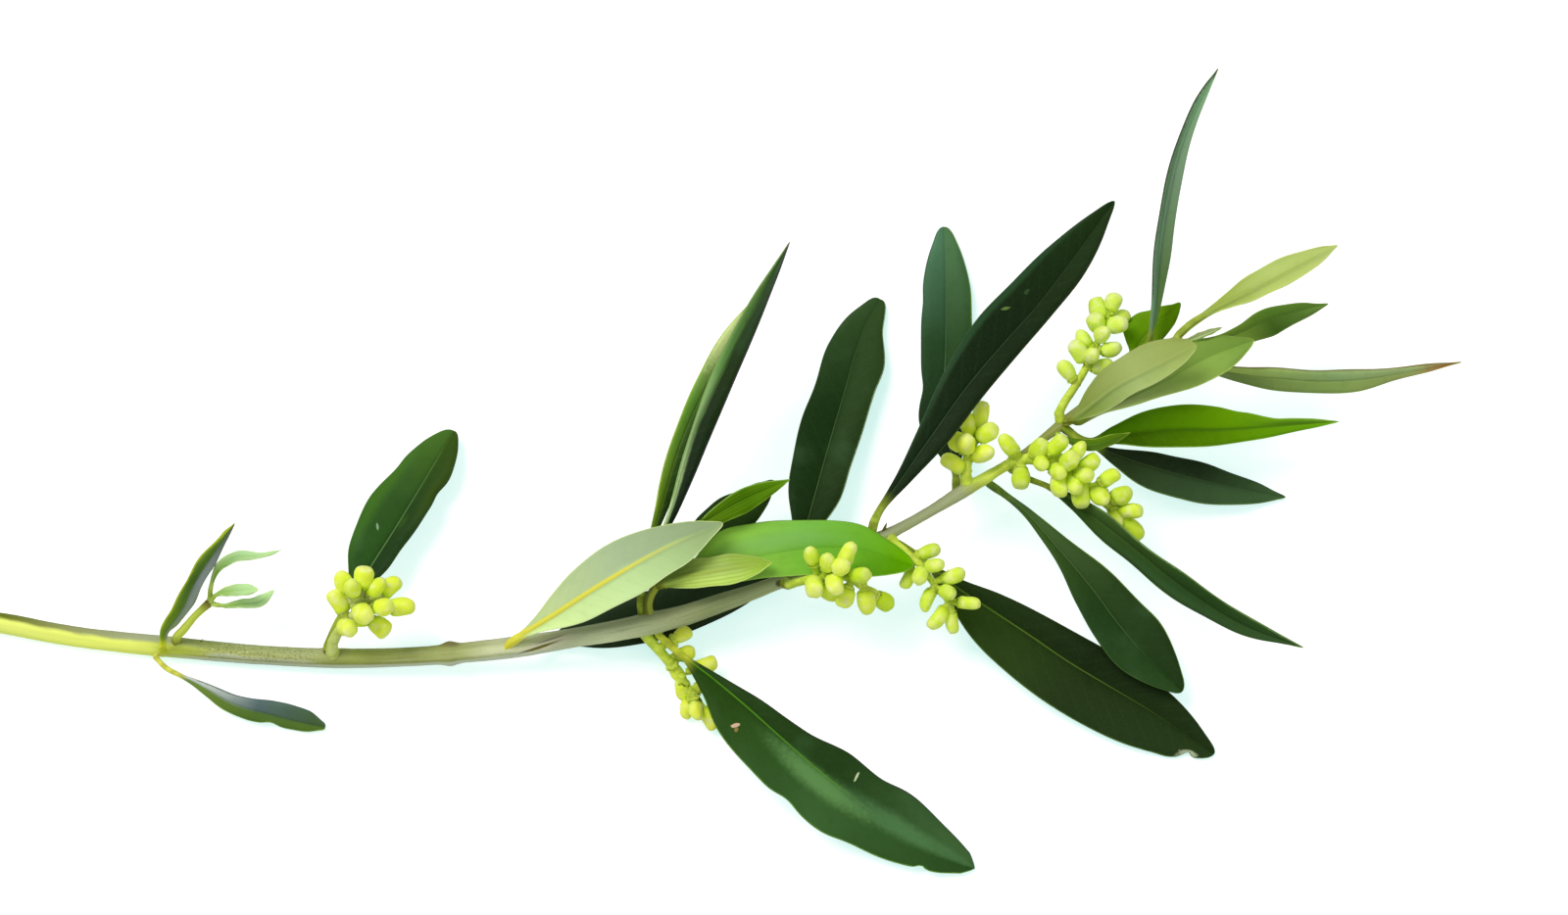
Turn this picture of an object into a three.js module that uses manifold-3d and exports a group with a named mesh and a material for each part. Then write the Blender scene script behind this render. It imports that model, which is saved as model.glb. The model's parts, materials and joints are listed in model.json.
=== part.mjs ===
// A cut olive branch in bud, lying on a flat surface.
//
// The branch is a woody main stem with two side shoots, thirty-two leaves and seven clusters of
// closed flower buds. Every piece is its own solid and keeps a small gap to its neighbours.
// Lengths are in millimetres. X runs along the branch from its cut end to its tip, and Z is up.

import * as THREE from 'three';
import Module from 'manifold-3d';

const wasm = await Module();
wasm.setup();

// ---------------------------------------------------------------- driving dimensions

const GAP = 0.3;                 // clearance where a stalk meets the wood it grew from
const LEAF_THICKNESS = 0.45;
const KEEL = 0.35;               // how far the midrib stands proud of a leaf's underside
const KEEL_HALF_WIDTH = 0.3;
const LEAF_STALK_RADIUS = 0.55;
const SMALL_LEAF_SCALE = 0.6;    // stalk and thickness of the smallest leaves, against the others
const SMALL_LEAF_WIDTH = 1.3;    // half-width under which a leaf counts as one of the smallest
const LEAF_FOLD = 12;            // degrees that each half of a blade is lifted about its midrib
const LEAF_CAMBER = 0.06;        // bulge of each half of a blade, as a share of its half-width
const LEAF_TIP = 0.8;            // 1 tapers straight to a point, 0.5 gives a round end
const STEM_SIDES = 12;
const STEM_SQUARENESS = 0.04;    // olive wood is faintly four-angled
const STEM_STATIONS = 36;
const SHOOT_STATIONS = 6;
const BUD_SIDES = 6;
const BUD_RADIUS = 1.5;
const BUD_LENGTH = 4.4;
const PEDUNCLE_RADIUS = 0.55;    // a cluster's main stalk, where it leaves the wood
const PEDICEL_RADIUS = 0.35;     // the stalk of one bud
const PEDICEL_SIDES = 4;
const END_DOME = 0.25;           // height of the slight dome that closes a tube

// ---------------------------------------------------------------- finishes

const FINISHES = {
  bark: { color: 0x8c8a68, roughness: 0.75 },
  green_shoot: { color: 0xa9a83c, roughness: 0.6 },
  old_leaf: { color: 0x24401c, roughness: 0.4 },
  young_leaf: { color: 0x6aa21a, roughness: 0.45 },
  leaf_underside: { color: 0xa9bd8a, roughness: 0.7 },
  bud: { color: 0xd2e85a, roughness: 0.5 },
};

function finish(name) {
  return new THREE.MeshStandardMaterial({ metalness: 0, ...FINISHES[name] });
}

// ---------------------------------------------------------------- the woody parts
// Each axis point is [x, y, z, radius].

const MAIN_STEM = {
  name: 'main_stem',
  finish: 'bark',
  axis: [
    [-143, -29, 1.8, 1.7], [-133, -30.5, 1.8, 1.7], [-119.5, -33, 1.8, 1.7], [-106, -34.5, 1.8, 1.75],
    [-91, -36, 2, 1.6], [-76, -37, 2.8, 1.6], [-61, -37, 4, 1.6], [-46, -36, 5.5, 1.75],
    [-37, -35, 7, 1.6], [-28.5, -34, 8.5, 1.75], [-22.5, -33, 9.5, 1.8], [-15.5, -31.5, 10.5, 1.7],
    [-8, -29, 11.5, 1.5], [-2, -27, 12, 1.1], [8, -22.5, 12.5, 1.1], [17, -18.5, 13.2, 1],
    [20.5, -17, 13.3, 0.85], [24.5, -14.5, 13.4, 0.9], [28.5, -12, 13.6, 1.15], [33.5, -9, 14, 0.95],
    [40, -5, 14.6, 0.7], [44, -2, 15.4, 0.65], [48, 1, 16.5, 0.95], [53, 4.5, 17.5, 0.9],
    [59.5, 9.5, 19.5, 0.75], [66, 13, 22, 0.6],
  ],
};

const SIDE_SHOOTS = [
  {
    name: 'side_shoot_1',
    finish: 'green_shoot',
    axis: [
      [-102.5, -34, 4, 0.75], [-100.5, -32.5, 6, 0.7], [-98.5, -31, 8, 0.6],
      [-96, -29.5, 10, 0.65],
    ],
  },
  {
    name: 'side_shoot_2',
    finish: 'green_shoot',
    axis: [
      [-22.5, -33, 9.5, 0.8], [-22.5, -29.5, 11.5, 0.7], [-21, -27, 13, 0.7],
      [-18.5, -24, 14.5, 0.6],
    ],
  },
];

// ---------------------------------------------------------------- the leaves, from the cut end to the tip
// rib     points along the midrib, from the wood to the leaf's tip
// stalk   length of the bare stalk before the blade starts
// girth   radius of that stalk, where it isn't the usual one
// left, right  half-widths at the sixths of the blade, seen from the wood with the upper face up
// roll    degrees that the blade is turned about its midrib, at its base and at its tip:
//         a positive roll lifts the left margin, and 180 turns the underside up

const LEAVES = [
  {
    name: 'leaf_01', finish: 'old_leaf', roll: [55, 60], stalk: 3,
    rib: [
      [-104.6, -36, 3.4], [-104.3, -35.8, 5.5], [-103.5, -34, 8], [-100.5, -32, 12],
      [-97, -26, 15], [-91.5, -17.5, 16],
    ],
    left: [1.3, 1.8, 2, 1.8, 1.2], right: [1, 1.6, 1.9, 1.8, 1.2],
  },
  {
    name: 'leaf_02', finish: 'old_leaf', roll: [20, 20], stalk: 6, girth: 0.35, tip: 0.5,
    rib: [
      [-106, -36.6, 2.4], [-105, -38, 2.8], [-102.8, -39.4, 3.2], [-98, -41.9, 3.5],
      [-92, -45, 2.6], [-84.5, -47, 1.6], [-77, -48.5, 0.6],
    ],
    left: [0.9, 1.4, 2, 2.6, 2.4], right: [1, 1.6, 1.9, 1.6, 1.5],
  },
  {
    name: 'leaf_03', finish: 'old_leaf', roll: [-10, -5], stalk: 9, tip: 0.5,
    rib: [
      [-77, -35.8, 3.9], [-75.8, -33, 5], [-73.6, -29.2, 6], [-70.8, -23.7, 6.2], [-66.8, -16, 5.2],
      [-61.7, -5.7, 3.8], [-57.2, 4.1, 2.2],
    ],
    left: [4.4, 6, 6.6, 6, 4.6], right: [3, 3.2, 3.8, 4, 3.6],
  },
  {
    name: 'leaf_04', finish: 'leaf_underside', roll: [180, 170], stalk: 3, girth: 0.6, tip: 0.7,
    rib: [
      [-46.5, -36, 7], [-43.5, -35, 10], [-39, -33.5, 14], [-29, -28.5, 19], [-19.5, -23.5, 21],
      [-10, -19.5, 22],
    ],
    left: [1.6, 2.8, 3.6, 3.9, 3.2], right: [2.8, 5, 6.2, 5.5, 3.6],
  },
  {
    name: 'leaf_05', finish: 'old_leaf', roll: [0, 0], stalk: 4,
    rib: [
      [-44.2, -35.9, 4.2], [-38, -33.5, 2], [-26.5, -30.5, 2], [-15, -27, 2], [-6.5, -24.5, 2],
      [-1, -22, 2],
    ],
    left: [3.6, 4.4, 4.2, 3.4, 2], right: [2.8, 4.4, 5, 4.6, 2.8],
  },
  {
    name: 'leaf_06', finish: 'young_leaf', roll: [20, 20], stalk: 13,
    rib: [
      [-23.5, -32, 9.5], [-24, -28.5, 11], [-23.3, -23, 12.5], [-21.3, -17, 14.2], [-16.8, -2, 17],
      [-9, 15.5, 16.5], [-6, 22, 16],
    ],
    left: [1.4, 1.7, 1.9, 2.1, 1.9], right: [1.5, 2, 2, 1.8, 1.5],
  },
  {
    name: 'leaf_07', finish: 'old_leaf', roll: [15, 15], fold: 25, stalk: 9,
    rib: [
      [-22, -28.5, 12], [-20.8, -21.5, 14.6], [-18.5, -15, 17.4], [-15.3, -3.5, 19],
      [-11, 6.5, 20.5], [1, 32, 20],
    ],
    left: [0.6, 0.8, 1.5, 1.7, 1.1], right: [2, 2.9, 2.8, 2.2, 1.3],
  },
  {
    name: 'leaf_08', finish: 'old_leaf', roll: [0, 0], stalk: 5, tip: 0.6,
    rib: [[-20.9, -26.2, 12.7], [-17, -21, 12], [-13, -18.5, 13], [-7, -13.5, 12], [-1.7, -7.8, 10]],
    left: [2.2, 3.4, 3.8, 3.2, 2], right: [2.4, 3.4, 3.8, 3.4, 2.2],
  },
  {
    name: 'leaf_09', finish: 'young_leaf', roll: [15, 15], stalk: 10,
    rib: [[-20.1, -26.1, 14.2], [-17, -21, 18], [-12, -18, 20], [-5.5, -14.5, 21], [1, -11.5, 21]],
    left: [1.1, 1.6, 1.9, 1.7, 1], right: [1.4, 1.9, 2.2, 1.8, 1.1],
  },
  {
    name: 'leaf_10', finish: 'young_leaf', roll: [0, 0], stalk: 1.5, tip: 0.55,
    rib: [
      [-21.2, -28.3, 12.3], [-18.5, -27, 14], [-10, -25, 15.5], [0, -22.5, 16], [11.5, -22, 16],
      [21.5, -24.5, 15],
    ],
    left: [5.6, 5.8, 5.2, 4.6, 3.6], right: [2.8, 4, 4.8, 5.2, 4.6],
  },
  {
    name: 'leaf_11', finish: 'leaf_underside', roll: [180, 180], stalk: 2,
    rib: [
      [-20.9, -27.6, 13.4], [-19.5, -28, 16], [-16, -27.5, 18], [-9.5, -26.5, 19],
      [-2, -25.5, 19.5],
    ],
    left: [1.6, 2.2, 2.6, 2.6, 2], right: [2.1, 2.7, 2.8, 2.6, 1.8],
  },
  {
    name: 'leaf_12', finish: 'old_leaf', roll: [0, 0], stalk: 7, girth: 0.5, tip: 0.55,
    rib: [
      [-22.3, -33.5, 8.5], [-16, -39, 8.2], [-10, -43.5, 8], [-4, -49, 8], [2, -54, 6.5],
      [9.5, -60, 4.5], [20.5, -67, 2], [31.5, -72.5, 0.6],
    ],
    left: [1.8, 3.2, 5, 5.8, 5], right: [5.4, 7.8, 8.4, 7, 5],
  },
  {
    name: 'leaf_13', finish: 'old_leaf', roll: [0, 0], stalk: 5, tip: 0.5,
    rib: [
      [1, -24.8, 11.5], [2.5, -19.5, 9], [4, -14, 7], [6.5, -4, 5], [10.5, 11, 3], [14, 23.5, 1.5],
      [17, 29.5, 0.6],
    ],
    left: [4, 5.4, 5.9, 5.4, 4.4], right: [4, 4.8, 5.2, 5.2, 4.6],
  },
  {
    name: 'leaf_14', finish: 'old_leaf', roll: [10, 10], stalk: 5, girth: 0.6, tip: 0.7,
    rib: [
      [14.6, -18.6, 14], [15.3, -16.8, 17], [17, -14.8, 19.5], [23.5, -6, 23], [32.5, 6.5, 24],
      [43, 19.5, 22], [57, 40.5, 18],
    ],
    left: [2, 4.4, 6.2, 5.8, 4], right: [2.6, 3.2, 3.2, 3, 3],
  },
  {
    name: 'leaf_15', finish: 'old_leaf', roll: [10, 10], stalk: 9, tip: 0.6,
    rib: [
      [17, -18.5, 12], [22.5, -21, 9], [28, -25, 7], [39, -32, 5], [49.5, -39, 3.5], [60, -45, 2],
      [72, -53, 0.6],
    ],
    left: [2.6, 4, 5, 5, 4], right: [5, 7.4, 8.2, 8, 6.2],
  },
  {
    name: 'leaf_16', finish: 'old_leaf', roll: [0, 0], stalk: 5, tip: 0.5,
    rib: [
      [29, -11.3, 12.9], [29, -4.5, 9], [27, 4.5, 6], [28, 14.5, 3], [28.5, 28.5, 1.5],
      [28.5, 43.5, 0.6],
    ],
    left: [3.6, 3.8, 4.4, 4.4, 3.6], right: [3.8, 5, 5, 4.6, 3.9],
  },
  {
    name: 'leaf_17', finish: 'old_leaf', roll: [0, 0], stalk: 3, tip: 0.6,
    rib: [
      [34, -9.3, 13.4], [36, -10.5, 12.8], [40, -13.5, 12], [45, -19, 11], [51.5, -26.5, 9],
      [58, -35, 7], [66.5, -43.5, 5],
    ],
    left: [1.4, 2.8, 4.4, 5.4, 5], right: [0.9, 2, 4, 5, 4.5],
  },
  {
    name: 'leaf_18', finish: 'old_leaf', roll: [50, 50], stalk: 7, girth: 0.45,
    rib: [
      [37.8, -7, 13.9], [40.5, -8.5, 13.6], [42.5, -9.3, 14], [47.5, -12.5, 14.5], [55.5, -19, 15],
      [65, -27, 14], [75.5, -33.5, 12], [86.5, -37, 9],
    ],
    left: [2.2, 2.7, 2.8, 2.5, 1.6], right: [2.2, 2.8, 2.8, 2.5, 1.6],
  },
  {
    name: 'leaf_19', finish: 'old_leaf', roll: [5, 0], stalk: 7,
    rib: [
      [46.9, -0.2, 15.4], [49, -1.5, 14.2], [51, -2.2, 13.5], [54, -3, 12], [61, -4.5, 9],
      [69.5, -5.5, 5], [78, -6.5, 2.5], [86.5, -7.5, 0.6],
    ],
    left: [1.8, 2.8, 3.2, 2.8, 1.8], right: [3.2, 4.4, 4.6, 4, 2.6],
  },
  {
    name: 'leaf_20', finish: 'young_leaf', roll: [10, 40], stalk: 5,
    rib: [
      [47.2, -0.6, 16.4], [50.5, -3, 16.2], [54.5, -2, 15.5], [64.5, -0.5, 15], [74, 0, 14],
      [84, 1, 13], [94.5, 2.5, 11],
    ],
    left: [2.9, 4.2, 4, 2, 1.2], right: [2.3, 3.1, 2.9, 2.1, 1.3],
  },
  {
    name: 'leaf_21', finish: 'old_leaf', roll: [0, 0], stalk: 2,
    rib: [
      [45.6, -1.4, 15.9], [48.8, -3.4, 16.8], [51.5, -4.5, 18.3], [54.5, -3.8, 18.8],
      [58, -2.5, 19],
    ],
    left: [0.9, 1.1, 1.1, 1, 0.7], right: [0.9, 1.1, 1.1, 1, 0.7],
  },
  {
    name: 'leaf_22', finish: 'leaf_underside', roll: [180, 180], stalk: 3, tip: 0.5,
    rib: [[47.3, 0, 17], [47.9, -0.4, 19], [49, -0.3, 21], [55, 3, 26], [61.5, 5.5, 29], [68, 8.5, 31]],
    left: [2, 2.6, 2.6, 2.5, 2.1], right: [2.4, 3.7, 4.5, 4.7, 3.8],
  },
  {
    name: 'leaf_23', finish: 'young_leaf', roll: [0, 0], stalk: 3, tip: 0.65,
    rib: [
      [48.6, 0.6, 16.4], [49.8, -0.2, 18], [52, 1, 19], [56, 2.5, 20], [64, 6, 21.5],
      [71.5, 10, 22], [79, 13, 22],
    ],
    left: [2.2, 3, 3.4, 3.6, 2.7], right: [1.2, 2, 3.1, 4, 3.4],
  },
  {
    name: 'leaf_24', finish: 'young_leaf', roll: [0, 0], stalk: 2, tip: 0.65,
    rib: [[57, 7.5, 19], [58, 10, 19.5], [60.5, 13.8, 20.3], [63.5, 17, 21], [67, 20, 21.5]],
    left: [3.6, 4, 3.4, 2.3, 1.2], right: [2.1, 2.7, 2.7, 2.5, 1.7],
  },
  {
    name: 'leaf_25', finish: 'old_leaf', roll: [52, 52], stalk: 4, girth: 0.5,
    rib: [
      [61, 10.5, 20], [61.3, 12.5, 24], [62.2, 18, 26.5], [63, 25, 27.5], [64.7, 35, 28],
      [67.5, 46, 27], [71, 55, 25], [75.5, 64, 22],
    ],
    left: [2, 2.6, 2.7, 2.1, 1.3], right: [2.2, 2.9, 2.9, 2.3, 1.3],
  },
  {
    name: 'leaf_26', finish: 'leaf_underside', roll: [180, 180], stalk: 6,
    rib: [[66, 13.5, 22], [67.5, 14.5, 24], [71, 16, 27], [78.5, 19, 30], [85, 22, 32], [92, 25.5, 33]],
    left: [1, 1.7, 2, 2, 1.6], right: [1.4, 2.6, 3, 2.7, 1.8],
  },
  {
    name: 'leaf_27', finish: 'old_leaf', roll: [0, 0], stalk: 5,
    rib: [
      [65.2, 12.7, 21], [67, 13.5, 19.5], [69.5, 14, 18.5], [75, 15, 18], [83.5, 19.5, 16],
      [93.5, 23, 14],
    ],
    left: [0.9, 1.4, 2, 2, 1.2], right: [1.3, 2.5, 3.2, 2.6, 1.5],
  },
  {
    name: 'leaf_28', finish: 'old_leaf', roll: [50, 50], stalk: 6,
    rib: [
      [63.9, 11.6, 20.4], [65.5, 12, 18.5], [69, 11.5, 16], [75, 10.5, 14], [85.5, 10, 12],
      [95.5, 10, 11], [106, 11.5, 11], [116, 13, 12],
    ],
    left: [1.3, 2.1, 2.3, 1.9, 1], right: [1.4, 2.3, 2.5, 2.1, 1],
  },
  {
    name: 'leaf_29', finish: 'young_leaf', roll: [0, 0], stalk: 1,
    rib: [[66, 12.5, 21.5], [68, 13, 22], [70.5, 13.5, 23.5], [73.5, 14.5, 24]],
    left: [0.5, 0.6, 0.6, 0.5, 0.4], right: [0.5, 0.6, 0.6, 0.5, 0.4],
  },
  {
    name: 'young_leaf_1', finish: 'young_leaf', roll: [30, -30], stalk: 3,
    rib: [
      [-96, -29, 10], [-95.5, -27, 12], [-94, -24.5, 14], [-91, -23, 15], [-87, -23, 15.5],
      [-83.5, -22, 15.5],
    ],
    left: [0.6, 0.9, 1, 0.8, 0.5], right: [0.6, 0.9, 1, 0.8, 0.5],
  },
  {
    name: 'young_leaf_2', finish: 'young_leaf', roll: [0, 0], stalk: 2, tip: 0.5,
    rib: [
      [-96, -29.5, 10], [-94.5, -28.5, 11.5], [-92, -28, 12], [-89.5, -28, 12.5],
      [-87.5, -28, 12.5],
    ],
    left: [0.7, 1, 1.1, 1.1, 0.9], right: [0.7, 1, 1.1, 1.1, 0.9],
  },
  {
    name: 'young_leaf_3', finish: 'young_leaf', roll: [0, 0], stalk: 2, tip: 0.6,
    rib: [[-96, -29.5, 9.5], [-93.5, -30, 10], [-91, -29.5, 9.5], [-88, -29, 9], [-85.5, -27, 9]],
    left: [0.6, 0.8, 0.9, 1.1, 0.8], right: [0.6, 0.8, 0.9, 1.1, 0.8],
  },
];

// ---------------------------------------------------------------- the bud clusters, in the same order
// stalk   points along the cluster's main stalk, from the wood outwards
// girth   radius of that stalk at the wood, where it isn't the usual one
// buds    the centre of each closed bud

const BUD_CLUSTERS = [
  {
    name: 'bud_cluster_1', girth: 0.7,
    stalk: [[-76, -37, 3.5], [-75.5, -35.5, 7], [-74, -34, 9.5], [-72, -32.5, 12], [-69.5, -31, 13.5]],
    buds: [
      [-73, -27.5, 14.5], [-69.5, -27, 16], [-74, -30.5, 13.5], [-71, -29.5, 18],
      [-67.5, -28.5, 15], [-65.5, -27.5, 12.5],
      [-66, -32, 16], [-63.5, -31, 12.5], [-69, -33.5, 16.5], [-67, -34.5, 12.5],
      [-72.5, -34.5, 12], [-70.5, -32.5, 10],
    ],
  },
  {
    name: 'bud_cluster_2',
    stalk: [
      [-23.7, -34, 8], [-20.7, -36.8, 6], [-18.5, -39.3, 5], [-16.5, -42, 4], [-14.5, -44.5, 3.5],
    ],
    buds: [
      [-17, -34, 6], [-16.5, -36.5, 4], [-13, -38.5, 4.2], [-18, -40, 4], [-17, -42.5, 2.6],
      [-13, -42, 2.6],
      [-14.5, -46.5, 4], [-16, -45.5, 2], [-12.5, -47.5, 2.2],
    ],
  },
  {
    name: 'bud_cluster_3',
    stalk: [
      [-0.5, -27.5, 12], [2, -27.5, 15], [5.5, -27.5, 17.5], [8, -27.5, 19], [10.5, -28, 19.5],
      [13, -29.5, 18.5],
      [15, -30, 17.5],
    ],
    buds: [
      [4.5, -25, 21.5], [7, -26.5, 22.5], [10.5, -25, 22.5], [9.5, -27.5, 23], [8.5, -30, 21.5],
      [12.5, -28.5, 22],
      [5, -29.5, 19], [7.5, -29.5, 16], [10, -31, 18], [13.5, -31.5, 17], [16.5, -31, 15.5],
    ],
  },
  {
    name: 'bud_cluster_4',
    stalk: [
      [17, -18.5, 13], [20.5, -22, 14], [23, -24.5, 14], [25, -27.5, 13.5], [27, -29.5, 12.5],
      [28, -31, 11.5],
    ],
    buds: [
      [24, -22, 14.5], [25, -25, 16.5], [22.5, -26.5, 15.5], [20.5, -26, 12.5], [28, -26.5, 15.5],
      [24, -30, 13],
      [30.5, -31, 14.5], [25.5, -32.5, 11.5], [28, -33, 10.5], [27, -29.5, 15.5],
    ],
  },
  {
    name: 'bud_cluster_5',
    stalk: [[30.5, -11.5, 13.5], [30.5, -8.5, 15], [31, -5.5, 16.5], [32.5, -2, 17]],
    buds: [
      [33, 0.8, 18.5], [34, -2.6, 19.3], [31, -0.8, 18.3], [29, -3.8, 18.3], [28.3, -7, 16.3],
      [33.2, -6, 18.3],
      [30.6, -5, 19.8],
    ],
  },
  {
    name: 'bud_cluster_6',
    stalk: [
      [36.5, -7, 14.5], [39.5, -6.5, 16.2], [42, -6.5, 17.5], [45, -8.5, 18], [48.5, -10, 17.5],
      [51, -11.5, 16],
      [54, -13.5, 14.5], [56.5, -15, 13],
    ],
    buds: [
      [37.5, -4.5, 18.8], [42.5, -5.5, 20], [45.5, -5.5, 21], [48.8, -6, 19.5], [51, -7.5, 17.8],
      [43, -8.5, 20.3],
      [47.5, -8.5, 22], [45.5, -10, 20.5], [50, -10.5, 20.3], [48, -12, 19.5], [49.5, -13, 17.3],
      [54.5, -10, 17.5],
      [39.5, -10, 17.5], [52.5, -13.5, 17.8], [56.5, -12.5, 16.2], [58, -15, 15],
      [55.5, -15.8, 13.2], [58.5, -17.3, 12.2],
      [45.1, -6.5, 17.5], [46, -11.6, 18.5], [52.2, -11.6, 15.5], [49.2, -9.8, 17.8],
    ],
  },
  {
    name: 'bud_cluster_7',
    stalk: [
      [44.8, -1.2, 15.8], [47, 3, 18], [49.5, 6.5, 19.5], [51.5, 10, 20.5], [53, 13.5, 21],
      [54.5, 16.5, 22],
    ],
    buds: [
      [47.5, 8, 20.5], [49.5, 11, 22], [50.5, 13.5, 21.5], [51.5, 9.5, 23.5], [53.5, 8.5, 21],
      [55, 11, 23],
      [52.5, 15.5, 23.5], [53, 18.5, 22.5], [56, 15, 24], [55.5, 19, 24], [53.5, 13, 24.5],
      [56.5, 17, 21.5],
    ],
  },
];

// ---------------------------------------------------------------- geometry

const { clamp, degToRad, lerp, smoothstep } = THREE.MathUtils;
const UP = new THREE.Vector3(0, 0, 1);

const vector = ([x, y, z]) => new THREE.Vector3(x, y, z);
const curveThrough = (points) => new THREE.CatmullRomCurve3(points.map(vector), false, 'centripetal');

// Closes a row of equal rings into a solid, with a point at each end. Seen from the first ring
// towards the last, each ring runs clockwise.
function skin(rings, startPoint, endPoint) {
  const sides = rings[0].length;
  const points = [startPoint, ...rings.flat(), endPoint];
  const last = points.length - 1;
  const at = (ring, side) => 1 + ring * sides + (side % sides);
  const triangles = [];
  for (let side = 0; side < sides; side++) {
    triangles.push(0, at(0, side + 1), at(0, side));
    for (let ring = 0; ring < rings.length - 1; ring++) {
      triangles.push(at(ring, side), at(ring, side + 1), at(ring + 1, side + 1));
      triangles.push(at(ring, side), at(ring + 1, side + 1), at(ring + 1, side));
    }
    triangles.push(last, at(rings.length - 1, side), at(rings.length - 1, side + 1));
  }
  const geometry = new THREE.BufferGeometry();
  const numbers = points.flatMap((point) => point.toArray());
  geometry.setAttribute('position', new THREE.Float32BufferAttribute(numbers, 3));
  geometry.setIndex(triangles);
  return geometry;
}

// The directions ahead, to the left and up at a point of a curve, turned by a roll in degrees
// that lifts the left side.
function frameAt(curve, u, roll = 0) {
  const ahead = curve.getTangentAt(u);
  const level = UP.clone().addScaledVector(ahead, -UP.dot(ahead)).normalize();
  const aside = new THREE.Vector3().crossVectors(level, ahead);
  const turn = degToRad(roll);
  return {
    ahead,
    left: aside.clone().multiplyScalar(Math.cos(turn)).addScaledVector(level, Math.sin(turn)),
    up: level.clone().multiplyScalar(Math.cos(turn)).addScaledVector(aside, -Math.sin(turn)),
  };
}

function pointOff(centre, frame, toLeft, toUp) {
  return centre.clone().addScaledVector(frame.left, toLeft).addScaledVector(frame.up, toUp);
}

// Angles around a section, from the left side over the top.
function anglesAround(sides) {
  return Array.from({ length: sides }, (_, k) => Math.PI - (2 * Math.PI * k) / sides);
}

function roundRing(centre, frame, angles, radiusAt) {
  return angles.map((a) => pointOff(centre, frame, -radiusAt(a) * Math.cos(a), radiusAt(a) * Math.sin(a)));
}

// A closed tube along a curve from startU to its end. radiusAt(u, angle) gives its radius.
function tube(curve, startU, stations, sides, radiusAt) {
  const rings = Array.from({ length: stations }, (_, k) => {
    const u = lerp(startU, 1, k / (stations - 1));
    return roundRing(curve.getPointAt(u), frameAt(curve, u), anglesAround(sides), (a) => radiusAt(u, a));
  });
  const start = curve.getPointAt(startU).addScaledVector(curve.getTangentAt(startU), -END_DOME);
  const end = curve.getPointAt(1).addScaledVector(curve.getTangentAt(1), END_DOME);
  return skin(rings, start, end);
}

// ---------------------------------------------------------------- wood

const WOOD_SAMPLES = 200;        // places checked along each woody axis
const woodBalls = [];            // balls that fill the woody parts made so far
const RIM_ANGLES = anglesAround(8);

function clearOfWood(point) {
  return woodBalls.every(({ centre, radius }) => point.distanceTo(centre) > radius + GAP);
}

// The first place along a curve where a round stalk stands clear of all the wood.
function firstClear(curve, stalkRadius) {
  const step = GAP / 2 / curve.getLength();
  for (let u = 0; u < 1; u += step) {
    const frame = frameAt(curve, u);
    const centre = curve.getPointAt(u);
    const rim = roundRing(centre, frame, RIM_ANGLES, () => stalkRadius);
    const start = centre.clone().addScaledVector(frame.ahead, -END_DOME);
    if ([start, ...rim].every(clearOfWood)) return u;
  }
  throw new Error('a stalk never leaves the wood');
}

// The radius along an axis, from the radius given at each of its points.
function radiusAlong(curve, axis) {
  const places = axis.map((point) => {
    const target = vector(point);
    let best = 0;
    for (let u = 0; u <= 1; u += 1 / WOOD_SAMPLES) {
      if (curve.getPointAt(u).distanceTo(target) < curve.getPointAt(best).distanceTo(target)) best = u;
    }
    return best;
  });
  return (u) => {
    const k = clamp(places.findLastIndex((place) => place <= u), 0, axis.length - 2);
    const share = clamp((u - places[k]) / (places[k + 1] - places[k]), 0, 1);
    return lerp(axis[k][3], axis[k + 1][3], share);
  };
}

function woodGeometry({ axis }, stations, startU) {
  const curve = curveThrough(axis);
  const radiusAt = radiusAlong(curve, axis);
  const start = startU ?? firstClear(curve, axis[0][3]);
  const squaredRadius = (u, angle) => radiusAt(u) * (1 + STEM_SQUARENESS * Math.cos(4 * angle));
  for (let k = 0; k <= WOOD_SAMPLES; k++) {
    const u = k / WOOD_SAMPLES;
    woodBalls.push({ centre: curve.getPointAt(u), radius: radiusAt(u) * (1 + STEM_SQUARENESS) });
  }
  return tube(curve, start, stations, STEM_SIDES, squaredRadius);
}

// ---------------------------------------------------------------- leaves

const LEAF_RING_ANGLES = [180, 135, 90, 45, 0, -36, -72, -108, -144].map(degToRad);
const STALK_STATIONS = [0, 0.5];
const BLADE_STATIONS = [0, 0.1, 0.22, 0.36, 0.5, 0.64, 0.78, 0.9, 0.97];
const THIN_TIP = 0.9;            // the blade thins past this share of its length
const FULL_BLADE = 0.15;         // and is fully flat from this share

// The half-width of a blade at a share of its length, from the half-widths at its sixths.
function widthAlong(widths, tip, stalkRadius) {
  const places = [stalkRadius, ...widths, 0].map((width, k) => new THREE.Vector2(k, width));
  const outline = new THREE.SplineCurve(places);
  const lastPlace = widths.length / (widths.length + 1);
  return (share) => {
    if (share <= lastPlace) return outline.getPoint(share).y;
    return widths.at(-1) * ((1 - share) / (1 - lastPlace)) ** tip;
  };
}

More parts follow.
